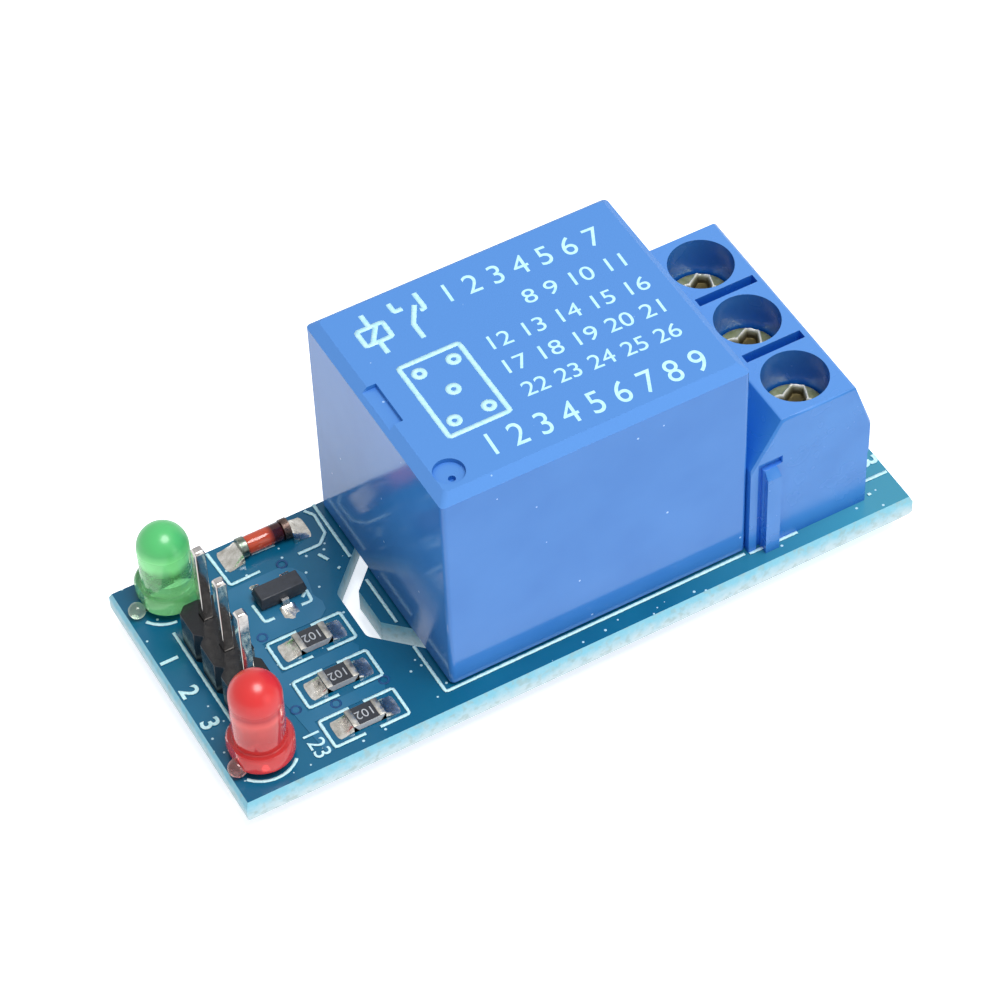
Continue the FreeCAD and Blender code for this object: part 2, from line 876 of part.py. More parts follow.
def header_pin(y):
    """A square pin with a blunt point at each end."""
    point = header_pin_size - header_pin_point
    top = deck + header_pin_height
    outlines = []
    for z, size in (
        (0, point),
        (header_pin_point, header_pin_size),
        (top - header_pin_point, header_pin_size),
        (top, point),
    ):
        outlines.append(rectangle(around(header_x, size), around(y, size), z))
    return skinned(outlines)


# Light-emitting diodes


def led_lead_outlines():
    """The two frame leads, outlines of x and height from the lens's underside."""
    half = led_lead_pitch / 2
    near = half - led_lead_size / 2
    far = half + led_lead_size / 2
    low = -led_standoff - deck
    cup_left, cup_right = led_anvil_span
    post_left, post_right = led_post_span
    cup = [
        (-far, low),
        (-near, low),
        (-near, led_bend_height),
        (cup_right, led_anvil_bottom),
        (cup_right, led_anvil_top),
        (cup_left, led_anvil_top),
        (cup_left, led_anvil_bottom),
        (-far, led_bend_height),
    ]
    post = [
        (near, low),
        (far, low),
        (far, led_bend_height),
        (post_right, led_anvil_bottom),
        (post_right, led_anvil_top),
        (post_left, led_anvil_top),
        (post_left, led_anvil_bottom),
        (near, led_bend_height),
    ]
    return cup, post


def led_lead(outline, x, y):
    bottom = deck + led_standoff
    return plate_xz([(x + px, bottom + pz) for px, pz in outline], around(y, led_frame_thickness))


def led_cup_lead(x, y):
    """The lead whose broad head carries the small reflector cup."""
    lead = led_lead(led_lead_outlines()[0], x, y)
    middle = x + sum(led_anvil_span) / 2
    rim = deck + led_standoff + led_anvil_top + led_cup_height
    cup = flatted_rod(middle, y, (rim - led_cup_height, rim), led_cup_radius, pin_sides)
    floor = rim - led_cup_height * 0.8
    bowl_floor = ring(middle, y, floor, led_cup_radius / 3, pin_sides)
    bowl_rim = ring(middle, y, rim, led_cup_radius * 0.8, pin_sides)
    return fused([lead, cup]).cut(skinned([bowl_floor, bowl_rim]))


def led_post_lead(x, y):
    return led_lead(led_lead_outlines()[1], x, y)


def led_lens(x, y, height):
    """The cast epoxy lens: flange with a flat, barrel and dome, closed round its leads."""
    bottom = deck + led_standoff
    shoulder = bottom + led_flange_height
    dome_z = bottom + height - led_body_radius
    flange = rod(x, y, (bottom, shoulder), led_flange_radius)
    barrel = rod(x, y, (bottom, dome_z), led_body_radius)
    dome = Part.makeSphere(led_body_radius, V(x, y, dome_z))
    beyond = (x - 2 * led_flange_radius, x - led_flat)
    flat = block(beyond, around(y, 4 * led_flange_radius), (bottom, shoulder))
    lens = fused([flange.cut(flat), barrel, dome])
    return cut_all(lens, [led_cup_lead(x, y), led_post_lead(x, y)])


# Surface-mounted pieces


def lying(shape, x, y, z):
    """Lay an upright turned piece along X at a place."""
    shape.rotate(V(0, 0, 0), V(0, 1, 0), 90)
    shape.translate(V(x, y, z))
    return shape


def diode_cap(side):
    """A metal end cap with the stud that runs into the glass."""
    end = diode_length / 2
    inner = end - diode_cap_length
    stud = diode_chip_thickness / 2
    spans = [sorted((side * stud, side * inner)), sorted((side * inner, side * end))]
    cap = rod(0, 0, spans[1], diode_cap_radius)
    cap = fused([cap, flatted_rod(0, 0, spans[0], diode_stud_radius, pin_sides)])
    return lying(cap, diode_x, diode_y, deck + diode_cap_radius)


def diode_glass():
    half = diode_length / 2 - diode_cap_length
    tube = rod(0, 0, (-half, half), diode_glass_radius)
    tube = tube.cut(flatted_rod(0, 0, (-half, half), diode_stud_radius + solder_gap, pin_sides))
    return lying(tube, diode_x, diode_y, deck + diode_cap_radius)


def diode_chip():
    size = diode_stud_radius * 1.2
    z = deck + diode_cap_radius
    return block(around(diode_x, diode_chip_thickness), around(diode_y, size), around(z, size))


def transistor_body():
    """A moulded body whose sides slope both ways from the parting line."""
    middle = deck + transistor_lead_height
    bottom = deck + transistor_standoff
    top = deck + transistor_height
    outlines = []
    for z, inset in ((bottom, transistor_draft), (middle, 0), (top, transistor_draft)):
        x_span = around(transistor_x, transistor_length - 2 * inset)
        y_span = around(transistor_y, transistor_width - 2 * inset)
        outlines.append(rectangle(x_span, y_span, z))
    return skinned(outlines)


def transistor_lead(x, side):
    """A gull-wing lead from the parting line down to its foot."""
    out = transistor_y + side * transistor_span / 2
    foot = out - side * transistor_foot
    start = transistor_y + side * transistor_width / 2
    knee = (start + foot) / 2
    thick = transistor_lead_thickness
    high = transistor_lead_height + thick / 2
    points = [
        (start, high),
        (knee + side * thick / 2, high),
        (foot + side * thick / 2, thick),
        (out, thick),
        (out, 0),
        (foot - side * thick / 2, 0),
        (knee - side * thick / 2, high - thick),
        (start, high - thick),
    ]
    corners = [V(x - transistor_lead_width / 2, y, deck + z) for y, z in points]
    face = Part.Face(Part.makePolygon(corners + corners[:1]))
    return face.extrude(V(transistor_lead_width, 0, 0))


def transistor_leads():
    half = transistor_pair_pitch / 2
    return [
        transistor_lead(transistor_x, -1),
        transistor_lead(transistor_x - half, 1),
        transistor_lead(transistor_x + half, 1),
    ]


def resistor_ys():
    return [resistor_first_y - resistor_pitch * place for place in range(resistor_count)]


def resistor_body(y):
    z_span = (deck + resistor_cap_wall, deck + resistor_height)
    x_span = around(resistor_x, resistor_length - 2 * resistor_cap_wall)
    return block(x_span, around(y, resistor_width), z_span)


def resistor_caps(y):
    """The two plated ends, each folded over the top, end and underside."""
    half = resistor_length / 2
    z_span = (deck, deck + resistor_height + resistor_cap_wall)
    caps = []
    for side in (-1, 1):
        ends = (resistor_x + side * half, resistor_x + side * (half - resistor_cap_length))
        wrap = block((min(ends), max(ends)), around(y, resistor_width), z_span)
        caps.append(wrap.cut(resistor_body(y)))
    return Part.makeCompound(caps)


# Solder


def solder_cone(x, y, reach, pin):
    """A wave-soldered joint that climbs a pin below the board."""
    tip = reach + cone_tip_margin
    waist = tip + (cone_base_radius - tip) * cone_belly
    levels = ((0, tip), (tail_length / 2, waist), (tail_length, cone_base_radius))
    return skinned([ring(x, y, z, radius, pin_sides) for z, radius in levels]).cut(pin)


def joint_pins(places, shape_of):
    """The cones of one group, each with the space of its own pin."""
    cones = []
    for x, y, reach in places:
        cones.append(solder_cone(x, y, reach, shape_of(x, y)))
    return Part.makeCompound(cones)


def flat_pin_space(x, y):
    size_x = flat_pin_width + 2 * solder_gap
    size_y = flat_pin_thickness + 2 * solder_gap
    return block(around(x, size_x), around(y, size_y), (-1, deck))


def round_pin_space(x, y):
    return flatted_rod(x, y, (-1, deck), coil_pin_radius + solder_gap, pin_sides)


def strip_pin_space(x, y):
    size_x = plate_thickness + 2 * solder_gap
    size_y = flat_pin_width + 2 * solder_gap
    return block(around(x, size_x), around(y, size_y), (-1, deck))


def square_pin_space(x, y):
    size = header_pin_size + 2 * solder_gap
    return block(around(x, size), around(y, size), (-1, deck))


def led_pin_space(x, y):
    size_x = led_lead_size + 2 * solder_gap
    size_y = led_frame_thickness + 2 * solder_gap
    return block(around(x, size_x), around(y, size_y), (-1, deck))


def relay_solder():
    places = relay_pin_places()
    flat = joint_pins([places[0]] + places[3:], flat_pin_space)
    coil = joint_pins(places[1:3], round_pin_space)
    return Part.makeCompound(flat.Solids + coil.Solids)


def solder_fillet(end, side, center, width, reach, rise, along_x=True):
    """A shiny fillet that sags from a lead's end down to the edge of its pad."""
    lip = V(side * reach, 0, fillet_lip)
    top = V(0, 0, rise)
    middle = V(side * reach * fillet_sag, 0, fillet_lip + (rise - fillet_lip) * fillet_sag)
    curve = Part.Arc(top, middle, lip).toShape()
    sides = [Part.makeLine(V(0, 0, 0), top), curve]
    sides += [Part.makeLine(lip, V(side * reach, 0, 0)), Part.makeLine(V(side * reach, 0, 0), V(0, 0, 0))]
    face = Part.Face(Part.Wire(sides))
    fillet = face.extrude(V(0, width, 0))
    fillet.translate(V(0, -width / 2, 0))
    if along_x:
        fillet.translate(V(end, center, deck))
    else:
        fillet.rotate(V(0, 0, 0), V(0, 0, 1), 90)
        fillet.translate(V(center, end, deck))
    return fillet


def surface_solder():
    fillets = []
    for y in resistor_ys():
        for side in (-1, 1):
            end = resistor_x + side * resistor_length / 2
            fillets.append(solder_fillet(end, side, y, resistor_width, resistor_fillet, resistor_fillet_rise))
    for side in (-1, 1):
        end = diode_x + side * diode_length / 2
        fillets.append(solder_fillet(end, side, diode_y, diode_fillet_width, diode_fillet, diode_fillet_rise))
    half = transistor_pair_pitch / 2
    for x, side in ((transistor_x, -1), (transistor_x - half, 1), (transistor_x + half, 1)):
        end = transistor_y + side * transistor_span / 2
        width = transistor_lead_width * 1.5
        fillets.append(solder_fillet(end, side, x, width, transistor_fillet, transistor_fillet_rise, False))
    return Part.makeCompound(fillets)


def save_relay():
    save("relay_cover", relay_cover())
    save("relay_base", relay_base())
    save("relay_common_pin", relay_common_pin())
    save("relay_coil_pin_1", relay_coil_pin(1))
    save("relay_coil_pin_2", relay_coil_pin(-1))
    save("relay_yoke", relay_yoke())
    save("relay_core", relay_core())
    save("relay_bobbin", relay_bobbin())
    save("relay_winding", relay_winding())
    save("relay_armature", relay_armature())
    save("relay_contact_spring", relay_contact_spring())
    save("relay_moving_contact", relay_moving_contact())
    save("relay_closed_strip", contact_strip(1, closed_strip_top))
    save("relay_closed_contact", fixed_contact(closed_contact_bottom))
    save("relay_open_strip", contact_strip(-1, open_contact_top - fixed_contact_height))
    save("relay_open_contact", fixed_contact(open_contact_top - fixed_contact_height))
    save("relay_solder", relay_solder())


def save_terminal_block():
    save("terminal_housing", terminal_housing())
    for number, y in enumerate(pole_ys(), 1):
        save(f"terminal_screw_{number}", terminal_screw(y))
        save(f"terminal_clamp_{number}", terminal_clamp(y))
        save(f"terminal_strip_{number}", terminal_strip(y))
    save("terminal_solder", joint_pins(terminal_pin_places(), strip_pin_space))


def save_header_and_leds():
    save("header_body", header_body())
    for number, y in enumerate(header_ys(), 1):
        save(f"header_pin_{number}", header_pin(y))
    save("header_solder", joint_pins(header_pin_places(), square_pin_space))
    for name, x, y, height in (
        ("green_led", green_led_x, green_led_y, green_led_height),
        ("red_led", red_led_x, red_led_y, red_led_height),
    ):
        save(name + "_lens", led_lens(x, y, height))
        save(name + "_cup_lead", led_cup_lead(x, y))
        save(name + "_post_lead", led_post_lead(x, y))
    save("led_solder", joint_pins(led_pin_places(), led_pin_space))


def save_surface_parts():
    save("diode_glass", diode_glass())
    save("diode_cap_1", diode_cap(-1))
    save("diode_cap_2", diode_cap(1))
    save("diode_chip", diode_chip())
    save("transistor_body", transistor_body())
    for number, lead in enumerate(transistor_leads(), 1):
        save(f"transistor_lead_{number}", lead)
    for number, y in enumerate(resistor_ys(), 1):
        save(f"resistor_{number}_body", resistor_body(y))
        save(f"resistor_{number}_caps", resistor_caps(y))
    save("surface_solder", surface_solder())


save("circuit_board", circuit_board())
save_relay()
save_terminal_block()
save_header_and_leds()
save_surface_parts()
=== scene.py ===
import math

import bmesh
import bpy
from bpy.props import FloatProperty, FloatVectorProperty, PointerProperty
from bpy.types import Operator, Panel, PropertyGroup
from mathutils import Matrix, Vector, noise


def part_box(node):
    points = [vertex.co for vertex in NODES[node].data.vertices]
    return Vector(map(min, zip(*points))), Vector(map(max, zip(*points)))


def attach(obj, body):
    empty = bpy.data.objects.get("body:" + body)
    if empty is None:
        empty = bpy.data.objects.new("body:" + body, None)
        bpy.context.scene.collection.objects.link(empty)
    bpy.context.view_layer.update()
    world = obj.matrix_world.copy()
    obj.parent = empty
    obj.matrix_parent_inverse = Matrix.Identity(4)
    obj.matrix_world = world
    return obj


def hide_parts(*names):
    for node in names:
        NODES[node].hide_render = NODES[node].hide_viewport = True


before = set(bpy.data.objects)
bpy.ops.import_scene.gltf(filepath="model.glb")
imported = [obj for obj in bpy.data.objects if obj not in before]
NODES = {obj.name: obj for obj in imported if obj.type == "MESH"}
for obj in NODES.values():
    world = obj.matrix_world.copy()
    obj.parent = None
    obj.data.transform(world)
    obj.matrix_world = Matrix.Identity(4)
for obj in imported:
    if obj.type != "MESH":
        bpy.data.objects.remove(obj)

bl_info = {
    "name": "Relay module board",
    "version": (1, 0, 0),
    "blender": (4, 5, 0),
    "location": "View3D > Sidebar > Relay module",
    "description": "Dresses a one-relay switching board: mouldings, solder, print, lamps and stage",
    "category": "Add Mesh",
}

MM = 0.001
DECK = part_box("circuit_board")[1].z / MM
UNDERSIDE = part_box("circuit_board")[0].z / MM
SCENE = bpy.context.scene
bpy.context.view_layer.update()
FLAT_WITHIN = math.radians(1.5)  # Faces that turn less than this are one flat face.
ROUND_PAST = math.radians(35.0)  # Edges that turn more than this are rounded.


# Small helpers shared by every piece


def linear(code):
    """An sRGB hex colour as linear light with full alpha."""
    parts = [int(code[i:i + 2], 16) / 255 for i in (1, 3, 5)]
    return tuple(c / 12.92 if c <= 0.04045 else ((c + 0.055) / 1.055) ** 2.4 for c in parts) + (1.0,)


def add(tree, kind, traits=None, sockets=None):
    """Adds one node with its traits; each socket is given a value, or linked from another socket."""
    made = tree.nodes.new(kind)
    for name, value in (traits or {}).items():
        setattr(made, name, value)
    for key, value in (sockets or {}).items():
        if isinstance(value, bpy.types.NodeSocket):
            tree.links.new(value, made.inputs[key])
        else:
            made.inputs[key].default_value = value
    return made


def span(node):
    """Lowest and highest corner of a CAD node, in millimetres."""
    low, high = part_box(node)
    return low / MM, high / MM


def middle(node):
    """Centre of a CAD node's box, in millimetres."""
    low, high = span(node)
    return (low + high) / 2


def solid(name, points, faces):
    """A mesh from points in millimetres, with its normals turned outwards."""
    form = bmesh.new()
    corners = [form.verts.new(Vector(p) * MM) for p in points]
    for face in faces:
        form.faces.new([corners[i] for i in face])
    bmesh.ops.remove_doubles(form, verts=form.verts, dist=1e-8)
    bmesh.ops.recalc_face_normals(form, faces=form.faces)
    mesh = bpy.data.meshes.new(name)
    form.to_mesh(mesh)
    form.free()
    return mesh


def smoothed(mesh, degrees=32.0):
    """Shades a mesh smooth, and keeps its edges sharp past an angle."""
    mesh.shade_smooth()
    mesh.set_sharp_from_angle(angle=math.radians(degrees))
    return mesh


def joined(name, meshes):
    """Puts several meshes together as one."""
    form = bmesh.new()
    for mesh in meshes:
        form.from_mesh(mesh)
    whole = bpy.data.meshes.new(name)
    form.to_mesh(whole)
    form.free()
    return whole


def baked(holder):
    """Turns text, a curve or an object with modifiers into a plain mesh, and removes the object."""
    graph = bpy.context.evaluated_depsgraph_get()
    mesh = bpy.data.meshes.new_from_object(holder.evaluated_get(graph), depsgraph=graph)
    bpy.data.objects.remove(holder)
    return mesh


def shown(name, mesh, material, body, slot_name, *stands_for):
    """Puts a finished mesh in the scene, on the body that carries it."""
    mesh.materials.clear()
    mesh.materials.append(material)
    piece = bpy.data.objects.new(name, mesh)
    SCENE.collection.objects.link(piece)
    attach(piece, body)
    if stands_for:
        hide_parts(*stands_for)
    return piece


def coated(material, *nodes):
    """Gives CAD nodes whose shape stays their finish."""
    for node in nodes:
        for place in NODES[node].material_slots:
            place.material = material


def prism(outline, low, high):
    """Points and faces of a flat plate from its outline."""
    count = len(outline)
    points = [(x, y, low) for x, y in outline] + [(x, y, high) for x, y in outline]
    faces = [tuple(reversed(range(count))), tuple(range(count, 2 * count))]
    faces += [(i, (i + 1) % count, count + (i + 1) % count, count + i) for i in range(count)]
    return points, faces


def turned(name, profile, centre, steps=48, axis="Z"):
    """A turned mesh from (radius, height) pairs; where it starts or ends at radius 0 it is closed."""
    points = []
    for radius, height in profile:
        for step in range(steps):
            angle = 2 * math.pi * step / steps
            across = (radius * math.cos(angle), radius * math.sin(angle))
            local = (*across, height) if axis == "Z" else (height, *across)
            points.append(tuple(a + b for a, b in zip(local, centre)))
    # Corners that fall together at a pole are kept once.
    seen = {}
    order = [seen.setdefault(p, len(seen)) for p in points]
    faces = []
    for ring in range(len(profile) - 1):
        for step in range(steps):
            near, far = ring * steps + step, ring * steps + (step + 1) % steps
            face = list(dict.fromkeys(order[i] for i in (near, far, far + steps, near + steps)))
            if len(face) > 2:
                faces.append(face)
    return solid(name, list(seen), faces)


def softened(node, width, steps=2, merged=True):
    """A copy of a CAD node with its edges rounded the way a mould or a press rounds them; width is in mm.

    Faces in one plane are merged first, unless a hole in one of them would be lost by it.
    """
    form = bmesh.new()
    form.from_mesh(NODES[node].data)
    bmesh.ops.remove_doubles(form, verts=form.verts, dist=1e-7)
    if merged:
        bmesh.ops.dissolve_limit(form, angle_limit=FLAT_WITHIN, verts=form.verts[:], edges=form.edges[:])
    mesh = bpy.data.meshes.new(node + "_soft")
    form.to_mesh(mesh)
    form.free()
    mesh.shade_smooth()
    holder = bpy.data.objects.new(node + "_soft", mesh)
    SCENE.collection.objects.link(holder)
    rounding = holder.modifiers.new("rounding", "BEVEL")
    rounding.width = width * MM
    rounding.segments = steps
    rounding.limit_method = "ANGLE"
    rounding.angle_limit = ROUND_PAST
    # Normals weighted by area, so that a wide flat face mirrors as a flat one up to its rounding.
    rounded = bpy.data.objects.new(node + "_round", smoothed(baked(holder), 40.0))
    SCENE.collection.objects.link(rounded)
    rounded.modifiers.new("weights", "WEIGHTED_NORMAL").keep_sharp = True
    return baked(rounded)


def digits(text, size, centre, turn=0.0, thick=0.02, weight=0.0):
    """Plain numbers lying on a flat face, as a mesh; centre is in millimetres."""
    curve = bpy.data.curves.new("digits", "FONT")
    curve.body = text
    curve.size = size * MM
    curve.extrude = thick * MM / 2
    curve.offset = weight * MM
    curve.align_x = "CENTER"
    curve.align_y = "CENTER"
    holder = bpy.data.objects.new("digits", curve)
    SCENE.collection.objects.link(holder)
    mesh = baked(holder)
    mesh.transform(Matrix.Translation(Vector(centre) * MM) @ Matrix.Rotation(math.radians(turn), 4, "Z"))
    return mesh


def arc(centre, radius, start, end, steps=16):
    """Points along part of a circle, by angles in degrees."""
    turns = [math.radians(start + (end - start) * i / steps) for i in range(steps + 1)]
    return [(centre[0] + radius * math.cos(t), centre[1] + radius * math.sin(t)) for t in turns]


# Geometry Nodes trees for what repeats or follows a path


def geometry_tree(name, sizes):
    """A tree with an input for each size and for a material.

    Returns the tree, its input node, and each input's identifier by its name.
    """
    tree = bpy.data.node_groups.new(name, "GeometryNodeTree")
    tree.interface.new_socket(name="Geometry", in_out="INPUT", socket_type="NodeSocketGeometry")
    tree.interface.new_socket(name="Geometry", in_out="OUTPUT", socket_type="NodeSocketGeometry")
    names = {}
    for label, kind, value in sizes:
        socket = tree.interface.new_socket(name=label, in_out="INPUT", socket_type="NodeSocket" + kind)
        socket.default_value = value
        names[label] = socket.identifier
    names["Material"] = tree.interface.new_socket(
        name="Material", in_out="INPUT", socket_type="NodeSocketMaterial").identifier
    return tree, add(tree, "NodeGroupInput"), names


def finish_tree(tree, start, geometry):
    """Ends a tree: instances made real, and the material set."""
    real = add(tree, "GeometryNodeRealizeInstances", None, {"Geometry": geometry})
    dressed = add(tree, "GeometryNodeSetMaterial", None, {
        "Geometry": real.outputs["Geometry"], "Material": start.outputs["Material"]})
    add(tree, "NodeGroupOutput", None, {"Geometry": dressed.outputs["Geometry"]})


def strip_tree():
    """Flat strips along drawn paths: printed lines, and copper tracks under the mask."""
    tree, start, names = geometry_tree("strips along paths", [
        ("Width", "Float", 0.2 * MM), ("Thickness", "Float", 0.02 * MM),
        ("Corner radius", "Float", 0.08 * MM),
        ("Step", "Float", 0.14 * MM), ("Narrowest", "Float", 0.78), ("Seed", "Int", 2)])
    path = add(tree, "GeometryNodeMeshToCurve", None, {"Mesh": start.outputs["Geometry"]})
    rounded = add(tree, "GeometryNodeFilletCurve", {"mode": "POLY"}, {
        "Curve": path.outputs["Curve"], "Count": 3, "Radius": start.outputs["Corner radius"],
        "Limit Radius": True})
    fine = add(tree, "GeometryNodeResampleCurve", {"mode": "LENGTH"}, {
        "Curve": rounded.outputs["Curve"], "Length": start.outputs["Step"]})
    level = add(tree, "GeometryNodeSetCurveNormal", {"mode": "Z_UP"}, {"Curve": fine.outputs["Curve"]})
    section = add(tree, "GeometryNodeCurvePrimitiveQuadrilateral", {"mode": "RECTANGLE"}, {
        "Width": start.outputs["Width"], "Height": start.outputs["Thickness"]})
    ragged = add(tree, "FunctionNodeRandomValue", {"data_type": "FLOAT"}, {
        2: start.outputs["Narrowest"], 3: 1.0, "Seed": start.outputs["Seed"]})
    swept = add(tree, "GeometryNodeCurveToMesh", None, {
        "Curve": level.outputs["Curve"], "Profile Curve": section.outputs["Curve"],
        "Scale": ragged.outputs[1], "Fill Caps": True})
    finish_tree(tree, start, swept.outputs["Mesh"])
    return tree, names


def cone_tree():
    """Soldered joints: a hollow-sided cone stood on every point, each a little different."""
    tree, start, names = geometry_tree("solder cones", [
        ("Foot radius", "Float", 0.9 * MM), ("Tip radius", "Float", 0.34 * MM), ("Height", "Float", 1.2 * MM),
        ("Hollow", "Float", 2.2), ("Unevenness", "Float", 0.07 * MM), ("Seed", "Int", 4)])
    tip = add(tree, "ShaderNodeCombineXYZ", None, {"Z": start.outputs["Height"]})
    stem = add(tree, "GeometryNodeCurvePrimitiveLine", None, {"End": tip.outputs["Vector"]})
    fine = add(tree, "GeometryNodeResampleCurve", None, {"Curve": stem.outputs["Curve"], "Count": 14})
    along = add(tree, "GeometryNodeSplineParameter")
    left = add(tree, "ShaderNodeMath", {"operation": "SUBTRACT"}, {0: 1.0, 1: along.outputs["Factor"]})
    sag = add(tree, "ShaderNodeMath", {"operation": "POWER"}, {
        0: left.outputs[0], 1: start.outputs["Hollow"]})
    reach = add(tree, "ShaderNodeMath", {"operation": "SUBTRACT"}, {
        0: start.outputs["Foot radius"], 1: start.outputs["Tip radius"]})
    radius = add(tree, "ShaderNodeMath", {"operation": "MULTIPLY_ADD"}, {
        0: sag.outputs[0], 1: reach.outputs[0], 2: start.outputs["Tip radius"]})
    ring = add(tree, "GeometryNodeCurvePrimitiveCircle", None, {"Resolution": 28, "Radius": 1.0})
    cone = add(tree, "GeometryNodeCurveToMesh", None, {
        "Curve": fine.outputs["Curve"], "Profile Curve": ring.outputs["Curve"], "Scale": radius.outputs[0],
        "Fill Caps": True})
    turn = add(tree, "FunctionNodeRandomValue", {"data_type": "FLOAT"}, {
        2: 0.0, 3: 2 * math.pi, "Seed": start.outputs["Seed"]})
    facing = add(tree, "ShaderNodeCombineXYZ", None, {"X": math.pi, "Z": turn.outputs[1]})
    size = add(tree, "FunctionNodeRandomValue", {"data_type": "FLOAT"}, {
        2: 0.93, 3: 1.0, "Seed": start.outputs["Seed"]})
    placed = add(tree, "GeometryNodeInstanceOnPoints", None, {
        "Points": start.outputs["Geometry"], "Instance": cone.outputs["Mesh"],
        "Rotation": facing.outputs["Vector"], "Scale": size.outputs[1]})
    real = add(tree, "GeometryNodeRealizeInstances", None, {"Geometry": placed.outputs["Instances"]})
    waves = add(tree, "ShaderNodeTexNoise", None, {"Scale": 900.0, "Detail": 1.0})
    centred = add(tree, "ShaderNodeVectorMath", {"operation": "SUBTRACT"}, {
        0: waves.outputs["Color"], 1: (0.5, 0.5, 0.5)})
    flat = add(tree, "ShaderNodeVectorMath", {"operation": "MULTIPLY"}, {
        0: centred.outputs["Vector"], 1: (1.0, 1.0, 0.0)})
    shift = add(tree, "ShaderNodeVectorMath", {"operation": "SCALE"}, {
        0: flat.outputs["Vector"], "Scale": start.outputs["Unevenness"]})
    uneven = add(tree, "GeometryNodeSetPosition", None, {
        "Geometry": real.outputs["Geometry"], "Offset": shift.outputs["Vector"]})
    finish_tree(tree, start, uneven.outputs["Geometry"])
    return tree, names


def thread_tree():
    """A rolled thread: a six-sided bar wound up the mesh it is given, half sunk in it."""
    tree, start, names = geometry_tree("screw thread", [
        ("Root radius", "Float", 1.02 * MM), ("Pitch", "Float", 0.45 * MM), ("Turns", "Float", 6.0),
        ("Ridge", "Float", 0.2 * MM), ("Axis X", "Float", 0.0), ("Axis Y", "Float", 0.0),
        ("Foot Z", "Float", 0.0)])
    rise = add(tree, "ShaderNodeMath", {"operation": "MULTIPLY"}, {
        0: start.outputs["Pitch"], 1: start.outputs["Turns"]})
    helix = add(tree, "GeometryNodeCurveSpiral", None, {
        "Resolution": 28, "Rotations": start.outputs["Turns"], "Start Radius": start.outputs["Root radius"],
        "End Radius": start.outputs["Root radius"], "Height": rise.outputs[0]})
    ridge = add(tree, "GeometryNodeCurvePrimitiveCircle", None, {
        "Resolution": 6, "Radius": start.outputs["Ridge"]})
    wound = add(tree, "GeometryNodeCurveToMesh", None, {
        "Curve": helix.outputs["Curve"], "Profile Curve": ridge.outputs["Curve"], "Fill Caps": True})
    foot = add(tree, "ShaderNodeCombineXYZ", None, {
        "X": start.outputs["Axis X"], "Y": start.outputs["Axis Y"], "Z": start.outputs["Foot Z"]})
    placed = add(tree, "GeometryNodeTransform", None, {
        "Geometry": wound.outputs["Mesh"], "Translation": foot.outputs["Vector"]})
    both = add(tree, "GeometryNodeJoinGeometry")
    tree.links.new(start.outputs["Geometry"], both.inputs[0])
    tree.links.new(placed.outputs["Geometry"], both.inputs[0])
    finish_tree(tree, start, both.outputs["Geometry"])
    return tree, names


def ring_tree():
    """Raised rings on every point: the lips of the small through-holes between the board's two sides."""
    tree, start, names = geometry_tree("through-hole lips", [
        ("Ring radius", "Float", 0.3 * MM), ("Lip", "Float", 0.06 * MM), ("Flatness", "Float", 0.45)])
    circle = add(tree, "GeometryNodeCurvePrimitiveCircle", None, {
        "Resolution": 24, "Radius": start.outputs["Ring radius"]})
    lip = add(tree, "GeometryNodeCurvePrimitiveCircle", None, {
        "Resolution": 8, "Radius": start.outputs["Lip"]})
    swept = add(tree, "GeometryNodeCurveToMesh", None, {
        "Curve": circle.outputs["Curve"], "Profile Curve": lip.outputs["Curve"]})
    size = add(tree, "ShaderNodeCombineXYZ", None, {"X": 1.0, "Y": 1.0, "Z": start.outputs["Flatness"]})
    placed = add(tree, "GeometryNodeInstanceOnPoints", None, {
        "Points": start.outputs["Geometry"], "Instance": swept.outputs["Mesh"],
        "Scale": size.outputs["Vector"]})
    finish_tree(tree, start, placed.outputs["Instances"])
    return tree, names


def grown(name, seed, recipe, sizes):
    """Runs a tree on a seed mesh, and returns the plain mesh that it makes."""
    tree, names = recipe
    holder = bpy.data.objects.new(name, seed)
    growth = holder.modifiers.new("growth", "NODES")
    growth.node_group = tree
    for label, value in sizes.items():
        growth[names[label]] = value
    SCENE.collection.objects.link(holder)
    return baked(holder)


def paths(name, lines, height):
    """Open or closed paths as loose edges at one height; a path whose ends meet is closed."""
    points = []
    edges = []
    for line in lines:
        closed = line[0] == line[-1] and len(line) > 2
        start = len(points)
        kept = line[:-1] if closed else line
        points += [(x * MM, y * MM, height * MM) for x, y in kept]
        edges += [(start + i, start + i + 1) for i in range(len(kept) - 1)]
        if closed:
            edges.append((start + len(kept) - 1, start))
    mesh = bpy.data.meshes.new(name)
    mesh.from_pydata(points, edges, [])
    return mesh


def dots(name, places, height):
    """Loose points at one height."""
    mesh = bpy.data.meshes.new(name)
    mesh.from_pydata([(x * MM, y * MM, height * MM) for x, y in places], [], [])
    return mesh


# Finishes


def finish(name, settings):
    """Starts a material: its Principled shader with its own values. Returns material, tree, shader, place."""
    material = bpy.data.materials.new(name)
    material.use_nodes = True
    tree = material.node_tree
    shader = tree.nodes["Principled BSDF"]
    for label, value in settings.items():
        shader.inputs[label].default_value = value
    place = add(tree, "ShaderNodeTexCoord").outputs["Object"]
    return material, tree, shader, place


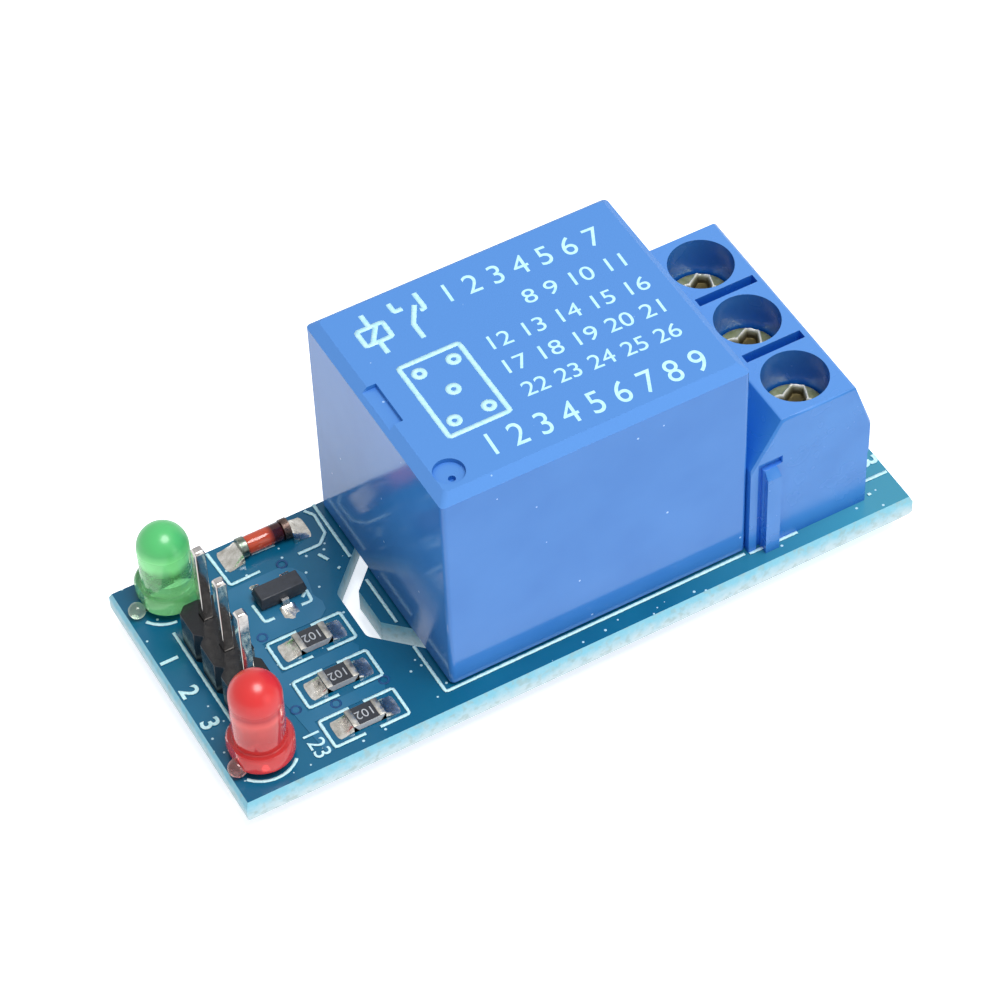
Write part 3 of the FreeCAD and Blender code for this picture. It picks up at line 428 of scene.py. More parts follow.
def shade_between(tree, shader, place, low, high, grain, detail=3.0, contrast=0.3):
    """Base colour that drifts between two shades in patches of a real size, grain, in millimetres."""
    patches = add(tree, "ShaderNodeTexNoise", None, {
        "Vector": place, "Scale": 1 / (grain * MM), "Detail": detail})
    spread = add(tree, "ShaderNodeMapRange", None, {
        0: patches.outputs[0], 1: 0.5 - contrast / 2, 2: 0.5 + contrast / 2})
    blend = add(tree, "ShaderNodeMix", {"data_type": "RGBA"}, {0: spread.outputs[0], 6: low, 7: high})
    tree.links.new(blend.outputs[2], shader.inputs["Base Color"])
    return blend.outputs[2]


def relief(tree, shader, place, grain, depth, strength=0.5, detail=2.0):
    """Surface relief: bumps of a real width, grain, and a real depth, both in millimetres."""
    bumps = add(tree, "ShaderNodeTexNoise", None, {
        "Vector": place, "Scale": 1 / (grain * MM), "Detail": detail})
    bump = add(tree, "ShaderNodeBump", None, {
        "Strength": strength, "Distance": depth * MM, "Height": bumps.outputs[0]})
    tree.links.new(bump.outputs["Normal"], shader.inputs["Normal"])
    return bump


def gloss_between(tree, shader, place, low, high, grain):
    """Roughness that drifts between two values in patches of a real size."""
    patches = add(tree, "ShaderNodeTexNoise", None, {
        "Vector": place, "Scale": 1 / (grain * MM), "Detail": 2.0})
    drift = add(tree, "ShaderNodeMapRange", None, {0: patches.outputs[0], 1: 0.35, 2: 0.65, 3: low, 4: high})
    tree.links.new(drift.outputs[0], shader.inputs["Roughness"])


def facing_up(tree, limit=0.9):
    """1 on faces that look straight up or down, 0 on the others."""
    normal = add(tree, "ShaderNodeNewGeometry").outputs["Normal"]
    parts = add(tree, "ShaderNodeSeparateXYZ", None, {0: normal})
    size = add(tree, "ShaderNodeMath", {"operation": "ABSOLUTE"}, {0: parts.outputs["Z"]})
    return add(tree, "ShaderNodeMath", {"operation": "GREATER_THAN"}, {
        0: size.outputs[0], 1: limit}).outputs[0]


def deeper(tree, colour, deep, reach):
    """Painted shade: a moulding's colour mixed toward a darker colour where ambient occlusion finds a hollow
    narrower than reach, in millimetres.
    """
    open_sky = add(tree, "ShaderNodeAmbientOcclusion", {"samples": 12}, {"Distance": reach * MM})
    share = add(tree, "ShaderNodeMapRange", None, {0: open_sky.outputs["AO"], 1: 0.2, 2: 0.75})
    return add(tree, "ShaderNodeMix", {"data_type": "RGBA"}, {
        0: share.outputs[0], 6: deep, 7: colour}).outputs[2]


def specks(tree, place, apart, size):
    """1 in small round specks of dust or ink, 0 elsewhere; both sizes in millimetres."""
    cells = add(tree, "ShaderNodeTexVoronoi", None, {"Vector": place, "Scale": 1 / (apart * MM)})
    near = add(tree, "ShaderNodeMath", {"operation": "LESS_THAN"}, {
        0: cells.outputs["Distance"], 1: size / 2 / apart})
    return near.outputs[0]


def masked_laminate():
    """Glass-fibre laminate under a glossy blue solder mask; the milled and snapped edges show pale fibre."""
    material, tree, shader, place = finish("solder_mask_on_glass_fibre_laminate", {
        "IOR": 1.45, "Coat Weight": 0.15, "Coat Roughness": 0.06})
    # The mask is printed wet, so its colour drifts in patches some millimetres across.
    drift = add(tree, "ShaderNodeTexNoise", None, {"Vector": place, "Scale": 260.0, "Detail": 2.0})
    mask = add(tree, "ShaderNodeMix", {"data_type": "RGBA"}, {
        0: drift.outputs[0], 6: linear("#035276"), 7: linear("#0C6788")})
    # Toward the terminals, from x = 5 mm to 19 mm, it is painted paler: a painted reflection of the bright
    # light above and behind.
    parts = add(tree, "ShaderNodeSeparateXYZ", None, {0: place})
    toward = add(tree, "ShaderNodeMapRange", None, {0: parts.outputs["X"], 1: 5.0 * MM, 2: 19.0 * MM})
    paler = add(tree, "ShaderNodeMix", {"data_type": "RGBA"}, {
        0: toward.outputs[0], 6: mask.outputs[2], 7: linear("#3E8FA8")})
    dusty = add(tree, "ShaderNodeMix", {"data_type": "RGBA"}, {
        0: specks(tree, place, 0.75, 0.16), 6: paler.outputs[2], 7: linear("#B9DCE6")})
    # Snapped edges: crushed resin above, cream fibre bundles about 0.4 mm apart below.
    rough_line = add(tree, "ShaderNodeTexNoise", None, {"Vector": place, "Scale": 1500.0, "Detail": 4.0})
    wander = add(tree, "ShaderNodeMath", {"operation": "MULTIPLY_ADD"}, {
        0: rough_line.outputs[0], 1: 1.1 * MM, 2: parts.outputs["Z"]})
    level = add(tree, "ShaderNodeMapRange", None, {
        0: wander.outputs[0], 1: (UNDERSIDE + 1.0) * MM, 2: (DECK + 0.35) * MM})
    edge = add(tree, "ShaderNodeMix", {"data_type": "RGBA"}, {
        0: level.outputs[0], 6: linear("#B9CCD0"), 7: linear("#7CBACC")})
    gaps = add(tree, "ShaderNodeTexNoise", None, {"Vector": place, "Scale": 2400.0, "Detail": 3.0})
    torn = add(tree, "ShaderNodeMapRange", None, {0: gaps.outputs[0], 1: 0.52, 2: 0.68, 3: 0.0, 4: 0.55})
    rough_edge = add(tree, "ShaderNodeMix", {"data_type": "RGBA"}, {
        0: torn.outputs[0], 6: edge.outputs[2], 7: linear("#93A9A6")})
    flat = facing_up(tree)
    blend = add(tree, "ShaderNodeMix", {"data_type": "RGBA"}, {
        0: flat, 6: rough_edge.outputs[2], 7: dusty.outputs[2]})
    tree.links.new(blend.outputs[2], shader.inputs["Base Color"])
    dull = add(tree, "ShaderNodeMapRange", None, {0: flat, 3: 0.75, 4: 0.22})
    tree.links.new(dull.outputs[0], shader.inputs["Roughness"])
    fibres = add(tree, "ShaderNodeTexNoise", None, {"Vector": place, "Scale": 3200.0, "Detail": 3.0})
    depth = add(tree, "ShaderNodeMapRange", None, {0: flat, 3: 0.9, 4: 0.12})
    bump = add(tree, "ShaderNodeBump", None, {
        "Strength": depth.outputs[0], "Distance": 0.06 * MM, "Height": fibres.outputs[0]})
    tree.links.new(bump.outputs["Normal"], shader.inputs["Normal"])
    return material


def masked_copper():
    """The same mask over copper: paler and a little violet, because the metal shines through."""
    material, tree, shader, place = finish("solder_mask_on_copper", {
        "Roughness": 0.2, "IOR": 1.45, "Coat Weight": 0.15, "Coat Roughness": 0.06})
    shade_between(tree, shader, place, linear("#15668A"), linear("#2E6F92"), 3.0, 2.0, 0.4)
    relief(tree, shader, place, 0.9, 0.01, 0.25)
    return material


def via_finish():
    """Mask that has sunk in the small through-holes: darker than round about."""
    material, tree, shader, place = finish("mask_in_through_holes", {"Roughness": 0.3, "IOR": 1.5})
    shade_between(tree, shader, place, linear("#0B3A66"), linear("#1B5488"), 0.3, 2.0, 0.4)
    return material


def printed_ink():
    """Screen-printed ink, chalky and a little uneven at its rims."""
    material, tree, shader, place = finish("screen_printed_ink", {"Roughness": 0.55, "IOR": 1.48})
    shade_between(tree, shader, place, linear("#A9DDE4"), linear("#DDFBFF"), 0.12, 3.0, 0.5)
    relief(tree, shader, place, 0.06, 0.012, 0.4)
    return material


def pad_print():
    """Pad-printed ink on the cover: thin, pale, letting some of the blue through."""
    material, tree, shader, place = finish("pad_printed_ink", {"Roughness": 0.5, "IOR": 1.48})
    shade_between(tree, shader, place, linear("#A5DDF5"), linear("#D0F8FF"), 0.25, 3.0, 0.6)
    relief(tree, shader, place, 0.05, 0.01, 0.3)
    return material


def cover_moulding():
    """Injection-moulded polyester: eroded and matt on top, polished almost like a mirror on its sides."""
    material, tree, shader, place = finish("moulded_polyester_cover", {"IOR": 1.5})
    flat = facing_up(tree, 0.3)
    shade = shade_between(tree, shader, place, linear("#3472BA"), linear("#3D7AC1"), 4.0, 2.0, 0.5)
    # Painted light: the matt top's base colour is painted paler than the sides, for the sheen the light gives
    # it.
    paler = add(tree, "ShaderNodeMix", {"data_type": "RGBA"}, {0: flat, 6: shade, 7: linear("#548ACF")})
    # Painted shade: hollows and the foot of the sides by the board are painted a darker blue.
    sunk = deeper(tree, paler.outputs[2], linear("#1F66BE"), 1.2)
    dusty = add(tree, "ShaderNodeMix", {"data_type": "RGBA"}, {
        0: specks(tree, place, 1.6, 0.14), 6: sunk, 7: linear("#9CC0EA")})
    tree.links.new(dusty.outputs[2], shader.inputs["Base Color"])
    dull = add(tree, "ShaderNodeMapRange", None, {0: flat, 3: 0.12, 4: 0.6})
    tree.links.new(dull.outputs[0], shader.inputs["Roughness"])
    glint = add(tree, "ShaderNodeMapRange", None, {0: flat, 3: 0.5, 4: 0.2})
    tree.links.new(glint.outputs[0], shader.inputs["Specular IOR Level"])
    # Eroded grain, 0.08 mm wide.
    grain = add(tree, "ShaderNodeTexNoise", None, {"Vector": place, "Scale": 12500.0, "Detail": 2.0})
    waves = add(tree, "ShaderNodeTexNoise", None, {"Vector": place, "Scale": 260.0, "Detail": 1.0})
    height = add(tree, "ShaderNodeMix", {"data_type": "FLOAT"}, {
        0: flat, 2: waves.outputs[0], 3: grain.outputs[0]})
    strength = add(tree, "ShaderNodeMapRange", None, {0: flat, 3: 0.06, 4: 0.35})
    bump = add(tree, "ShaderNodeBump", None, {
        "Strength": strength.outputs[0], "Distance": 0.03 * MM, "Height": height.outputs[0]})
    tree.links.new(bump.outputs["Normal"], shader.inputs["Normal"])
    return material


def block_moulding():
    """Injection-moulded polyamide: satin, with the faint cloud that glass filling leaves."""
    material, tree, shader, place = finish("moulded_polyamide_block", {"IOR": 1.53})
    shade = shade_between(tree, shader, place, linear("#3174BC"), linear("#3A7DC5"), 2.5, 2.0, 0.5)
    # Painted light: the top is painted paler than the sides, as the light falls on it.
    paler = add(tree, "ShaderNodeMix", {"data_type": "RGBA"}, {
        0: facing_up(tree, 0.8), 6: shade, 7: linear("#548DD4")})
    # Painted shade: the screw holes, the slots and other hollows are painted a deeper blue.
    sunk = deeper(tree, paler.outputs[2], linear("#1E70D8"), 3.0)
    tree.links.new(sunk, shader.inputs["Base Color"])
    gloss_between(tree, shader, place, 0.24, 0.28, 1.6)
    relief(tree, shader, place, 1.5, 0.01, 0.04, 0.0)
    return material


def black_moulding(name, dark, pale, rough, grain):
    """Black moulded resin, from glossy thermoplastic to matt epoxy by its roughness."""
    material, tree, shader, place = finish(name, {"IOR": 1.55})
    shade_between(tree, shader, place, linear(dark), linear(pale), 0.5, 3.0, 0.5)
    gloss_between(tree, shader, place, rough * 0.85, rough * 1.2, 0.4)
    relief(tree, shader, place, grain, 0.01, 0.35)
    return material


def metal(name, dark, pale, rough, grain, depth=0.01):
    """A plated or solid metal: two close shades, patchy roughness and fine relief."""
    material, tree, shader, place = finish(name, {"Metallic": 1.0})
    shade_between(tree, shader, place, linear(dark), linear(pale), 0.4, 3.0, 0.5)
    gloss_between(tree, shader, place, rough * 0.7, rough * 1.35, 0.25)
    relief(tree, shader, place, grain, depth, 0.4)
    return material


def chromated_zinc():
    """Yellow chromate over zinc: khaki, with painted shade in the pressed cross and a painted near-white
    highlight on its torn rims.
    """
    material, tree, shader, place = finish("yellow_zinc_chromate", {})
    film = add(tree, "ShaderNodeTexNoise", None, {"Vector": place, "Scale": 2500.0, "Detail": 3.0})
    spread = add(tree, "ShaderNodeMapRange", None, {0: film.outputs[0], 1: 0.3, 2: 0.7})
    shade = add(tree, "ShaderNodeMix", {"data_type": "RGBA"}, {
        0: spread.outputs[0], 6: linear("#A2A66A"), 7: linear("#C9C896")})
    # Painted shade: the pressed cross is painted dark brown.
    sunk = add(tree, "ShaderNodeAttribute", {"attribute_name": "sunk"})
    painted_cross_shade = add(tree, "ShaderNodeMix", {"data_type": "RGBA"}, {
        0: sunk.outputs["Fac"], 6: shade.outputs[2], 7: linear("#544A2C")})
    # Painted highlight: the burrs round the cross are painted near-white and less metallic, for the light
    # they catch.
    burr = add(tree, "ShaderNodeAttribute", {"attribute_name": "burr"})
    painted_highlight = add(tree, "ShaderNodeMix", {"data_type": "RGBA"}, {
        0: burr.outputs["Fac"], 6: painted_cross_shade.outputs[2], 7: linear("#FFFDF0")})
    tree.links.new(painted_highlight.outputs[2], shader.inputs["Base Color"])
    highlight_metallic = add(tree, "ShaderNodeMapRange", None, {0: burr.outputs["Fac"], 3: 0.7, 4: 0.0})
    tree.links.new(highlight_metallic.outputs[0], shader.inputs["Metallic"])
    gloss_between(tree, shader, place, 0.3, 0.45, 0.25)
    relief(tree, shader, place, 0.1, 0.012, 0.35)
    return material


def lamp_epoxy(name, shades, levels, clearest):
    """Cast epoxy lens; from below: clear round the leads, a bright band of painted light, a darker dome."""
    material, tree, shader, place = finish(name, {
        "IOR": 1.54, "Coat Weight": 0.12, "Coat Roughness": 0.03})
    parts = add(tree, "ShaderNodeSeparateXYZ", None, {0: place})
    cloud = add(tree, "ShaderNodeTexNoise", None, {"Vector": place, "Scale": 700.0, "Detail": 1.0})
    wander = add(tree, "ShaderNodeMath", {"operation": "MULTIPLY_ADD"}, {
        0: cloud.outputs[0], 1: 0.5 * MM, 2: parts.outputs["Z"]})
    height = add(tree, "ShaderNodeMapRange", None, {
        0: wander.outputs[0], 1: (levels[0] + 0.25) * MM, 2: (levels[1] + 0.25) * MM})
    steps = add(tree, "ShaderNodeValToRGB", None, {0: height.outputs[0]})
    ramp = steps.color_ramp
    ramp.elements.remove(ramp.elements[1])
    for index, (position, code) in enumerate(shades):
        stop = ramp.elements[0] if index == 0 else ramp.elements.new(position)
        stop.position = position
        stop.color = linear(code)
    tree.links.new(steps.outputs["Color"], shader.inputs["Base Color"])
    through = add(tree, "ShaderNodeMapRange", {"interpolation_type": "SMOOTHSTEP"}, {
        0: height.outputs[0], 1: 0.4, 2: 0.58, 3: clearest, 4: 0.12})
    tree.links.new(through.outputs[0], shader.inputs["Transmission Weight"])
    # The dome left the mould a little less polished than the foot.
    dull = add(tree, "ShaderNodeMapRange", None, {0: height.outputs[0], 1: 0.4, 2: 0.7, 3: 0.05, 4: 0.3})
    tree.links.new(dull.outputs[0], shader.inputs["Roughness"])
    return material


def clear_drop(name, tint):
    """A small set drop of clear resin, with a few bubbles at its skin."""
    material, tree, shader, place = finish(name, {
        "Base Color": linear(tint), "Roughness": 0.05, "IOR": 1.5, "Transmission Weight": 0.9})
    relief(tree, shader, place, 0.35, 0.05, 0.5)
    return material


def diode_glass_finish():
    """Sealed glass tube, orange from the coated die inside, with a dark fired band at the cathode end."""
    material, tree, shader, place = finish("fired_amber_glass", {
        "Roughness": 0.08, "IOR": 1.52, "Transmission Weight": 0.35})
    high = span("diode_glass")[1]
    parts = add(tree, "ShaderNodeSeparateXYZ", None, {0: place})
    edge = add(tree, "ShaderNodeMapRange", None, {
        0: parts.outputs["X"], 1: (high.x - 0.95) * MM, 2: (high.x - 0.6) * MM})
    band = add(tree, "ShaderNodeMix", {"data_type": "RGBA"}, {
        0: edge.outputs[0], 6: linear("#EC5A38"), 7: linear("#4A1A1E")})
    tree.links.new(band.outputs[2], shader.inputs["Base Color"])
    relief(tree, shader, place, 0.5, 0.02, 0.2)
    return material


def enamelled_wire():
    """Enamelled copper wire wound on the bobbin, turns 0.1 mm apart."""
    material, tree, shader, place = finish("enamelled_copper_wire", {"Metallic": 0.9, "Roughness": 0.3})
    turns = add(tree, "ShaderNodeTexWave", {"bands_direction": "Z"}, {
        "Vector": place, "Scale": 3100.0, "Distortion": 0.4})
    blend = add(tree, "ShaderNodeMix", {"data_type": "RGBA"}, {
        0: turns.outputs[0], 6: linear("#7A2E14"), 7: linear("#D07A48")})
    tree.links.new(blend.outputs[2], shader.inputs["Base Color"])
    bump = add(tree, "ShaderNodeBump", None, {
        "Strength": 0.6, "Distance": 0.05 * MM, "Height": turns.outputs[0]})
    tree.links.new(bump.outputs["Normal"], shader.inputs["Normal"])
    return material


def alumina():
    """Fired alumina chip: pale grey-white ceramic under a black glaze on top."""
    material, tree, shader, place = finish("fired_alumina_with_black_glaze", {"IOR": 1.7})
    parts = add(tree, "ShaderNodeSeparateXYZ", None, {
        0: add(tree, "ShaderNodeNewGeometry").outputs["Normal"]})
    top = add(tree, "ShaderNodeMath", {"operation": "GREATER_THAN"}, {0: parts.outputs["Z"], 1: 0.7})
    grain = add(tree, "ShaderNodeTexNoise", None, {"Vector": place, "Scale": 14000.0, "Detail": 3.0})
    pale = add(tree, "ShaderNodeMix", {"data_type": "RGBA"}, {
        0: grain.outputs[0], 6: linear("#A9ABAE"), 7: linear("#C9CACA")})
    blend = add(tree, "ShaderNodeMix", {"data_type": "RGBA"}, {
        0: top.outputs[0], 6: pale.outputs[2], 7: linear("#26282C")})
    tree.links.new(blend.outputs[2], shader.inputs["Base Color"])
    dull = add(tree, "ShaderNodeMapRange", None, {0: top.outputs[0], 3: 0.6, 4: 0.32})
    tree.links.new(dull.outputs[0], shader.inputs["Roughness"])
    return material


def plain_finish(name, dark, pale, rough, grain):
    """A dull moulded or painted surface with a faint cloud and grain."""
    material, tree, shader, place = finish(name, {"Roughness": rough, "IOR": 1.5})
    shade_between(tree, shader, place, linear(dark), linear(pale), 1.0, 2.0, 0.5)
    relief(tree, shader, place, grain, 0.02, 0.3)
    return material


FINISHES = {}


# Sizes and colours that a user may change


def length(name, description, size, precision=5):
    """A length of the part that a user may change; size is in millimetres."""
    return FloatProperty(
        name=name, description=description, default=size * MM, unit="LENGTH", precision=precision)


class BoardSizes(PropertyGroup):
    ink_width: length("Printed line width", "Width of the printed outlines on the board", 0.21)
    copper_thickness: length("Copper thickness", "Height of the copper under the mask", 0.035, 6)
    joint_unevenness: length(
        "Joint unevenness", "How far a soldered joint wanders from a true cone", 0.08, 6)


class MouldingSizes(PropertyGroup):
    cover_rounding: length("Cover rounding", "Edge rounding of the relay's cover", 0.1)
    block_rounding: length("Block rounding", "Edge rounding of the terminal block", 0.11)
    print_line: length("Cover print line", "Line width of the contact diagram on the cover", 0.32)


class ScrewSizes(PropertyGroup):
    pitch: length("Thread pitch", "Rise of the clamping screw's thread in one turn", 0.45)
    cross_length: length(
        "Cross length", "From the head's centre to the end of one arm of its cross", 1.5)
    cross_depth: length("Cross depth", "Depth of the cross pressed in the head", 0.55)


class StageSettings(PropertyGroup):
    floor_size: FloatProperty(
        name="Floor size", description="Length of the floor's side", default=1.2, unit="LENGTH")
    floor_colour: FloatVectorProperty(
        name="Floor colour", description="Colour of the plain floor", subtype="COLOR",
        default=linear("#F2F3F5")[:3], min=0.0, max=1.0)
    floor_glow: FloatProperty(
        name="Floor glow", description="How bright the light table under the floor is", default=0.7, min=0.0)
    main_power: FloatProperty(
        name="Main light", description="Power of the large light above the terminal side",
        default=2.4, unit="POWER")


# Operators, one for each piece or group of like pieces


class OBJECT_OT_finishes(Operator):
    """Mix every finish, and coat the CAD nodes whose own shape stays"""
    bl_idname = "relay_module.finishes"
    bl_label = "Mix the finishes"

    def execute(self, context):
        FINISHES.update({
            "mask": masked_laminate(),
            "copper mask": masked_copper(),
            "ink": printed_ink(),
            "cover print": pad_print(),
            "via": via_finish(),
            "cover": cover_moulding(),
            "block": block_moulding(),
            # Glass-filled nylon: deep black with a wet shine.
            "header": black_moulding("moulded_black_nylon", "#08090C", "#121318", 0.22, 0.2),
            # Transfer-moulded epoxy: dark grey and matt, with a fine filler grain.
            "epoxy": black_moulding("moulded_black_epoxy", "#24262C", "#33363D", 0.5, 0.05),
            # Bright tin over brass: almost white, a little soft.
            "tin": metal("bright_tin_plate", "#C9C6C4", "#EFECE8", 0.22, 0.15),
            # Tin-lead solder: silvery, wet-looking, with darker folds.
            "solder": metal("reflowed_solder", "#B9B3A6", "#FBF6EC", 0.22, 0.3, 0.06),
            # Pins drawn square and tinned: smooth enough to mirror what stands round them.
            "pin": metal("drawn_tinned_pin", "#BDB8B2", "#E4DED8", 0.1, 0.5, 0.003),
            "zinc": chromated_zinc(),
            "nickel": metal("barrel_nickel_plate", "#B8B3A6", "#DAD6CC", 0.26, 0.12),
            "iron": metal("annealed_soft_iron", "#8E8F92", "#B5B6B8", 0.35, 0.1),
            "bronze": metal("rolled_spring_bronze", "#A8703A", "#CE9658", 0.25, 0.1),
            "silver": metal("silver_contact_alloy", "#C9C9CB", "#EFEFF0", 0.2, 0.06),
            "lead frame": metal("silvered_lead_frame", "#A8ACA8", "#D5D8D4", 0.25, 0.1),
            "copper wire": enamelled_wire(),
            # Thin drops of the lamps' resin, almost colourless.
            "green drop": clear_drop("green_resin_drop", "#DDF5DC"),
            "red drop": clear_drop("red_resin_drop", "#FFB8B4"),
            # The two levels, in millimetres, are where the colours begin and end.
            # The green lens's bright band, near 0.52 of its height, is painted light.
            "green lamp": lamp_epoxy("green_cast_epoxy", (
                (0.0, "#9CF0A4"), (0.42, "#8CEE94"), (0.52, "#92F79C"), (0.68, "#84EC90"), (0.8, "#54C06E"),
                (1.0, "#58C874")), (4.6, 8.9), 0.68),
            # The red lens's dark band at 0.6 is a painted reflection.
            "red lamp": lamp_epoxy("red_cast_epoxy", (
                (0.0, "#F04A4A"), (0.2, "#E8403E"), (0.5, "#F25A54"), (0.6, "#B81218"), (0.7, "#D42224"),
                (1.0, "#E03230")), (4.6, 9.65), 0.5),
            "glass": diode_glass_finish(),
            # Dumet caps dulled by heat: grey-green, brown at the cathode.
            "dull cap": metal("dulled_end_cap", "#4E5A50", "#98A092", 0.34, 0.3, 0.03),
            "brown cap": metal("browned_end_cap", "#4A3A38", "#8A7468", 0.36, 0.3, 0.03),
            "die": plain_finish("sawn_silicon", "#3A3C44", "#565A64", 0.3, 0.05),
            "ceramic": alumina(),
            # Nickel-tin ends, dipped and fired: pale grey and soft.
            "chip ends": metal("dipped_tin_ends", "#9C988E", "#D6D2C8", 0.4, 0.15, 0.02),
            # Marking ink on the chips: thin, greyer than the board's.
            "chip ink": plain_finish("chip_marking_ink", "#9EA2A6", "#C2C6CA", 0.6, 0.05),
            "base": plain_finish("moulded_polyester_base", "#2468C8", "#2E76DA", 0.45, 0.3),
            "bobbin": plain_finish("moulded_nylon_bobbin", "#D9D4C4", "#E8E4D6", 0.5, 0.3),
        })
        for name, nodes in {
                "mask": ["circuit_board"],
                "base": ["relay_base"],
                "bobbin": ["relay_bobbin"],
                "copper wire": ["relay_winding"],
                "iron": ["relay_yoke", "relay_core", "relay_armature"],
                "bronze": ["relay_contact_spring"],
                "silver": ["relay_moving_contact", "relay_closed_contact", "relay_open_contact"],
                "tin": ["relay_common_pin", "relay_coil_pin_1", "relay_coil_pin_2", "relay_closed_strip",
                        "relay_open_strip", "terminal_strip_1", "terminal_strip_2", "terminal_strip_3",
                        "transistor_lead_1", "transistor_lead_2", "transistor_lead_3"],
                "lead frame": ["green_led_cup_lead", "green_led_post_lead", "red_led_cup_lead",
                               "red_led_post_lead"],
                "die": ["diode_chip"],
                "dull cap": ["diode_cap_1"],
                "brown cap": ["diode_cap_2"]}.items():
            coated(FINISHES[name], *nodes)
        return {"FINISHED"}


class OBJECT_OT_board_copper(Operator):
    """Lay the copper that stands out under the mask, and the through-hole lips"""
    bl_idname = "relay_module.board_copper"
    bl_label = "Lay the copper"

    def execute(self, context):
        mask, lip_mask = FINISHES["copper mask"], FINISHES["via"]
        thick = context.scene.relay_board.copper_thickness / MM
        pour = [(-16.5, 5.3), (-16.6, -2.0), (-16.0, -7.7), (-15.6, -7.7), (-15.6, -5.45), (-11.2, -5.45),
                (-11.0, -5.0), (-11.2, -4.65), (-15.6, -4.65), (-15.6, -2.4), (-11.2, -2.4), (-11.0, -1.95),
                (-11.2, -1.55), (-15.6, -1.55), (-15.6, 0.85), (-11.9, 0.85), (-11.35, 1.3), (-11.25, 1.9),
                (-11.5, 2.6), (-11.3, 3.4), (-11.2, 4.2), (-11.6, 4.9), (-12.2, 5.3)]
        shown("top_copper", solid("pour", *prism(pour, DECK, DECK + thick)), mask, "module", "board")
        # Below: broad copper for the switched current, and fine tracks for the signals.
        heavy = [[(8.57, -5.42), (8.57, -3.0), (13.3, -4.85)], [(8.57, 6.58), (11.0, 6.58), (13.3, 5.15)],
                 [(-5.63, 0.58), (4.0, 0.58), (13.3, 0.15)]]
        signal = [[(-18.05, 2.44), (-14.4, 2.44), (-13.2, 3.6), (-3.63, 6.58)],
                  [(-18.05, -0.1), (-11.9, -0.1), (-11.9, -4.5), (-3.63, -5.42)],
                  [(-18.05, -2.64), (-15.0, -2.64), (-15.0, 1.6)],
                  [(-17.23, 6.6), (-15.8, 5.2), (-15.8, 2.44)],
                  [(-19.77, 6.6), (-20.6, 5.0), (-20.6, -4.6), (-20.32, -5.87)],
                  [(-17.78, -5.87), (-14.6, -7.4), (-11.0, -7.4)]]
        tracks = []
        for lines, width, bend in ((heavy, 2.6, 0.9), (signal, 0.6, 0.5)):
            tracks.append(grown("tracks", paths("tracks", lines, UNDERSIDE - thick / 2), strip_tree(), {
                "Width": width * MM, "Thickness": thick * MM, "Corner radius": bend * MM, "Step": 0.5 * MM,
                "Narrowest": 1.0, "Material": mask}))
        shown("bottom_copper", joined("bottom_copper", tracks), mask, "module", "board")
        places = [(-11.99, 5.45), (-15.37, 1.27), (-14.0, -4.93), (-10.94, -4.81), (-16.1, -4.2)]
        lips = []
        for height in (DECK + thick, UNDERSIDE - 0.02):
            lips.append(grown("lips", dots("lips", places, height), ring_tree(), {
                "Ring radius": 0.27 * MM, "Lip": 0.07 * MM, "Material": lip_mask}))
        shown("through_hole_lips", smoothed(joined("through_hole_lips", lips)), lip_mask, "module", "board")
        return {"FINISHED"}


class OBJECT_OT_board_print(Operator):
    """Print the outlines and the plain numbers on the board"""
    bl_idname = "relay_module.board_print"
    bl_label = "Print the board"

    def execute(self, context):
        sizes = context.scene.relay_board
        ink, thick = FINISHES["ink"], 0.04
        height = DECK + sizes.copper_thickness / MM + thick / 2
        lines = [
            [(-8.4, 8.45), (-8.4, 3.95)], [(-8.4, 2.0), (-8.4, -1.6)],
            [(-8.4, -3.6), (-8.4, -7.3), (10.9, -7.3)],
            [(11.15, -7.42), (14.3, -7.46)], [(19.5, -6.2), (21.15, -6.22)], [(19.25, -7.16), (19.45, -7.16)],
            [(-19.5, 4.1), (-19.5, -3.9)],
            [(-15.33, 8.3), (-15.2, 5.54), (-13.3, 5.6)],
            [(-9.08, 8.3), (-8.72, 7.75), (-8.8, 6.24), (-9.46, 5.62), (-10.84, 5.62)],
            [(-13.15, 6.98), (-11.7, 6.93)],
            [(-14.8, 3.6), (-14.75, 2.17), (-14.15, 2.15)],
            [(-11.68, 3.04), (-11.75, 2.2), (-12.4, 2.23)], [(-11.68, 3.04), (-12.1, 2.7)],
            [(-9.87, 5.03), (-9.57, 4.39)], [(-9.36, 3.62), (-9.28, 3.5)],
            arc((-19.05, -5.87), 1.95, 218, 318),
            arc((-18.9, 6.6), 1.87, 213, 268),
        ]
        # A bracket at each end of each resistor.
        for number in (1, 2, 3):
            y = middle(f"resistor_{number}_body").y
            for tip, back in ((-13.56, -15.42), (-12.65, -10.82)):
                lines.append([(tip, y + 1.02), (back, y + 1.02), (back, y - 1.0), (tip, y - 1.0)])
        marks = [grown("outlines", paths("outlines", lines, height), strip_tree(), {
            "Width": sizes.ink_width, "Thickness": thick * MM, "Corner radius": 0.1 * MM, "Material": ink})]
        numbers = [(str(n), 1.5, -20.65, middle(f"header_pin_{n}").y, 0.03) for n in (1, 2, 3)]
        numbers += [(str(n), 1.7, 20.55, y, 0.03) for n, y in ((1, 5.1), (2, 0.1), (3, -5.05))]
        numbers.append(("123", 1.4, -16.25, -6.85, 0.0))
        for label, size, x, y, weight in numbers:
            marks.append(digits(label, size, (x, y, height), -90, thick, weight))
        shown("board_print", joined("board_print", marks), ink, "module", "board")
        return {"FINISHED"}


